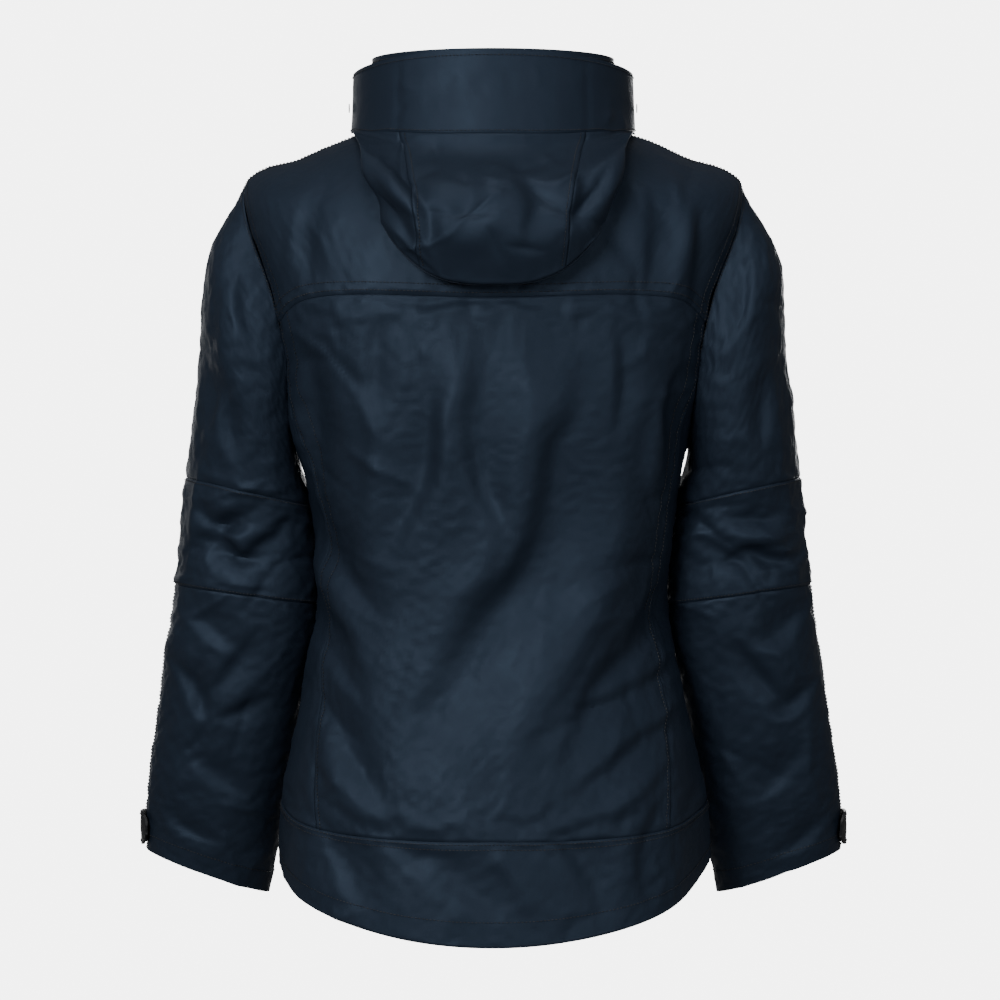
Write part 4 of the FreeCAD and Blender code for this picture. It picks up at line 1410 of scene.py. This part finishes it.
def brim_folds(angle, v, p):
    seams = np.exp(-((np.abs(angle) - 41) / 1.1) ** 2) * -0.9
    fine = strokes(p[..., 0], p[..., 2], BRIM_CREASES, 11)
    return crinkle(p + 15, 0.35) + (seams + fine) * np.clip(v * 4, 0, 1)


# ---------------------------------------------------------------- CAD pieces that stay
def finish_nodes():
    looks = {"zip_tape": TAPE, "zip_teeth": TEETH, "zip_bottom_stop": SLIDER, "zip_slider": SLIDER,
             "zip_puller": RUBBER, "storm_placket": TAPE, "pocket_zip": TEETH, "pocket_slider": SLIDER,
             "pocket_puller": RUBBER, "pocket_bag": TAPE, "hanger_loop": TAPE, "hood_cord_locks": RUBBER,
             "hood_eyelets": SLIDER}
    for node, obj in frame["nodes"].items():
        for start, material in looks.items():
            if node.startswith(start):
                for slot in obj.material_slots:
                    slot.material = material


# ---------------------------------------------------------------- floor, light and camera, in metres
STUDIO_RADIUS, STUDIO_HEIGHT, STUDIO_BEND = 6.0, 9.0, 1.5
STUDIO_GREY, STUDIO_GLOW = 0.93, 6.0
FLOOR_BELOW = 0.5
WORLD_LIGHT = 0.16
VIEW_X, VIEW_Z, VIEW_DISTANCE = -0.0063, -0.33, 3.0
LENS, SENSOR = 120.0, 36.0
LIGHTS = [  # name, place, size, watts
    ("key", (1.5, 3.1, 0.8), 1.3, 92),
    ("top", (0.2, 1.1, 2.2), 1.0, 24),
    ("fill", (-1.6, 3.1, 0.0), 2.2, 34),
    ("front_key", (-0.9, -3.3, -0.1), 1.4, 58),
    ("front_fill", (1.3, -3.1, -0.2), 2.0, 16),
]


def studio():
    """A pale floor that curves up into a round wall, wide enough for a camera on any side. It glows evenly
    and throws no light on the jacket."""
    low = CAD_BOX[0][2] - FLOOR_BELOW
    radius, bend, height, turns = STUDIO_RADIUS, STUDIO_BEND, STUDIO_HEIGHT, 64
    rows = [(0.05, low), (radius - bend, low)]
    rows += [(radius - bend + bend * math.sin(t), low + bend * (1 - math.cos(t)))
             for t in np.linspace(0, math.pi / 2, 9)[1:]]
    rows += [(radius, low + height)]
    around = [math.tau * k / turns for k in range(turns)]
    points = [(r * math.cos(t), r * math.sin(t), z) for r, z in rows for t in around]
    faces = [tuple(range(turns))]
    for k in range(len(rows) - 1):
        for i in range(turns):
            j = (i + 1) % turns
            faces.append((k * turns + i, k * turns + j, (k + 1) * turns + j, (k + 1) * turns + i))
    mesh = bpy.data.meshes.new("studio_floor")
    mesh.from_pydata(points, [], faces)
    floor = bpy.data.objects.new("studio_floor", mesh)
    bpy.context.scene.collection.objects.link(floor)
    pale = Nodes("studio_white", Roughness=1.0, Specular_IOR_Level=0.0, Emission_Strength=STUDIO_GLOW)
    pale.shader.inputs["Base Color"].default_value = (0, 0, 0, 1)
    pale.shader.inputs["Emission Color"].default_value = (STUDIO_GREY, STUDIO_GREY, STUDIO_GREY, 1)
    mesh.materials.append(pale.material)
    floor.visible_diffuse = floor.visible_glossy = floor.visible_shadow = False


def aim(obj, target):
    direction = Vector(target) - Vector(obj.location)
    obj.rotation_euler = direction.to_track_quat("-Z", "Y").to_euler()


def lights():
    for name, where, size, power in LIGHTS:
        data = bpy.data.lights.new(name, "AREA")
        data.shape, data.size, data.energy = "DISK", size, power
        obj = bpy.data.objects.new(name, data)
        obj.location = where
        obj.visible_camera = False
        aim(obj, (0.0, 0.0, VIEW_Z))
        bpy.context.scene.collection.objects.link(obj)
    world = bpy.data.worlds.new("studio")
    bpy.context.scene.world = world
    world.use_nodes = True
    background = world.node_tree.nodes["Background"]
    background.inputs["Color"].default_value = (1, 1, 1, 1)
    background.inputs["Strength"].default_value = WORLD_LIGHT


def camera():
    data = bpy.data.cameras.new("camera")
    data.lens, data.sensor_width = LENS, SENSOR
    obj = bpy.data.objects.new("camera", data)
    obj.location = (VIEW_X, VIEW_DISTANCE, VIEW_Z)
    aim(obj, (VIEW_X, 0.0, VIEW_Z))
    bpy.context.scene.collection.objects.link(obj)
    bpy.context.scene.camera = obj


shell_panels()
inner_torso()
collars()
sleeve_parts("left")
sleeve_parts("right")
hoods()
jacket_thread.build(THREAD)
finish_nodes()
studio()
lights()
camera()
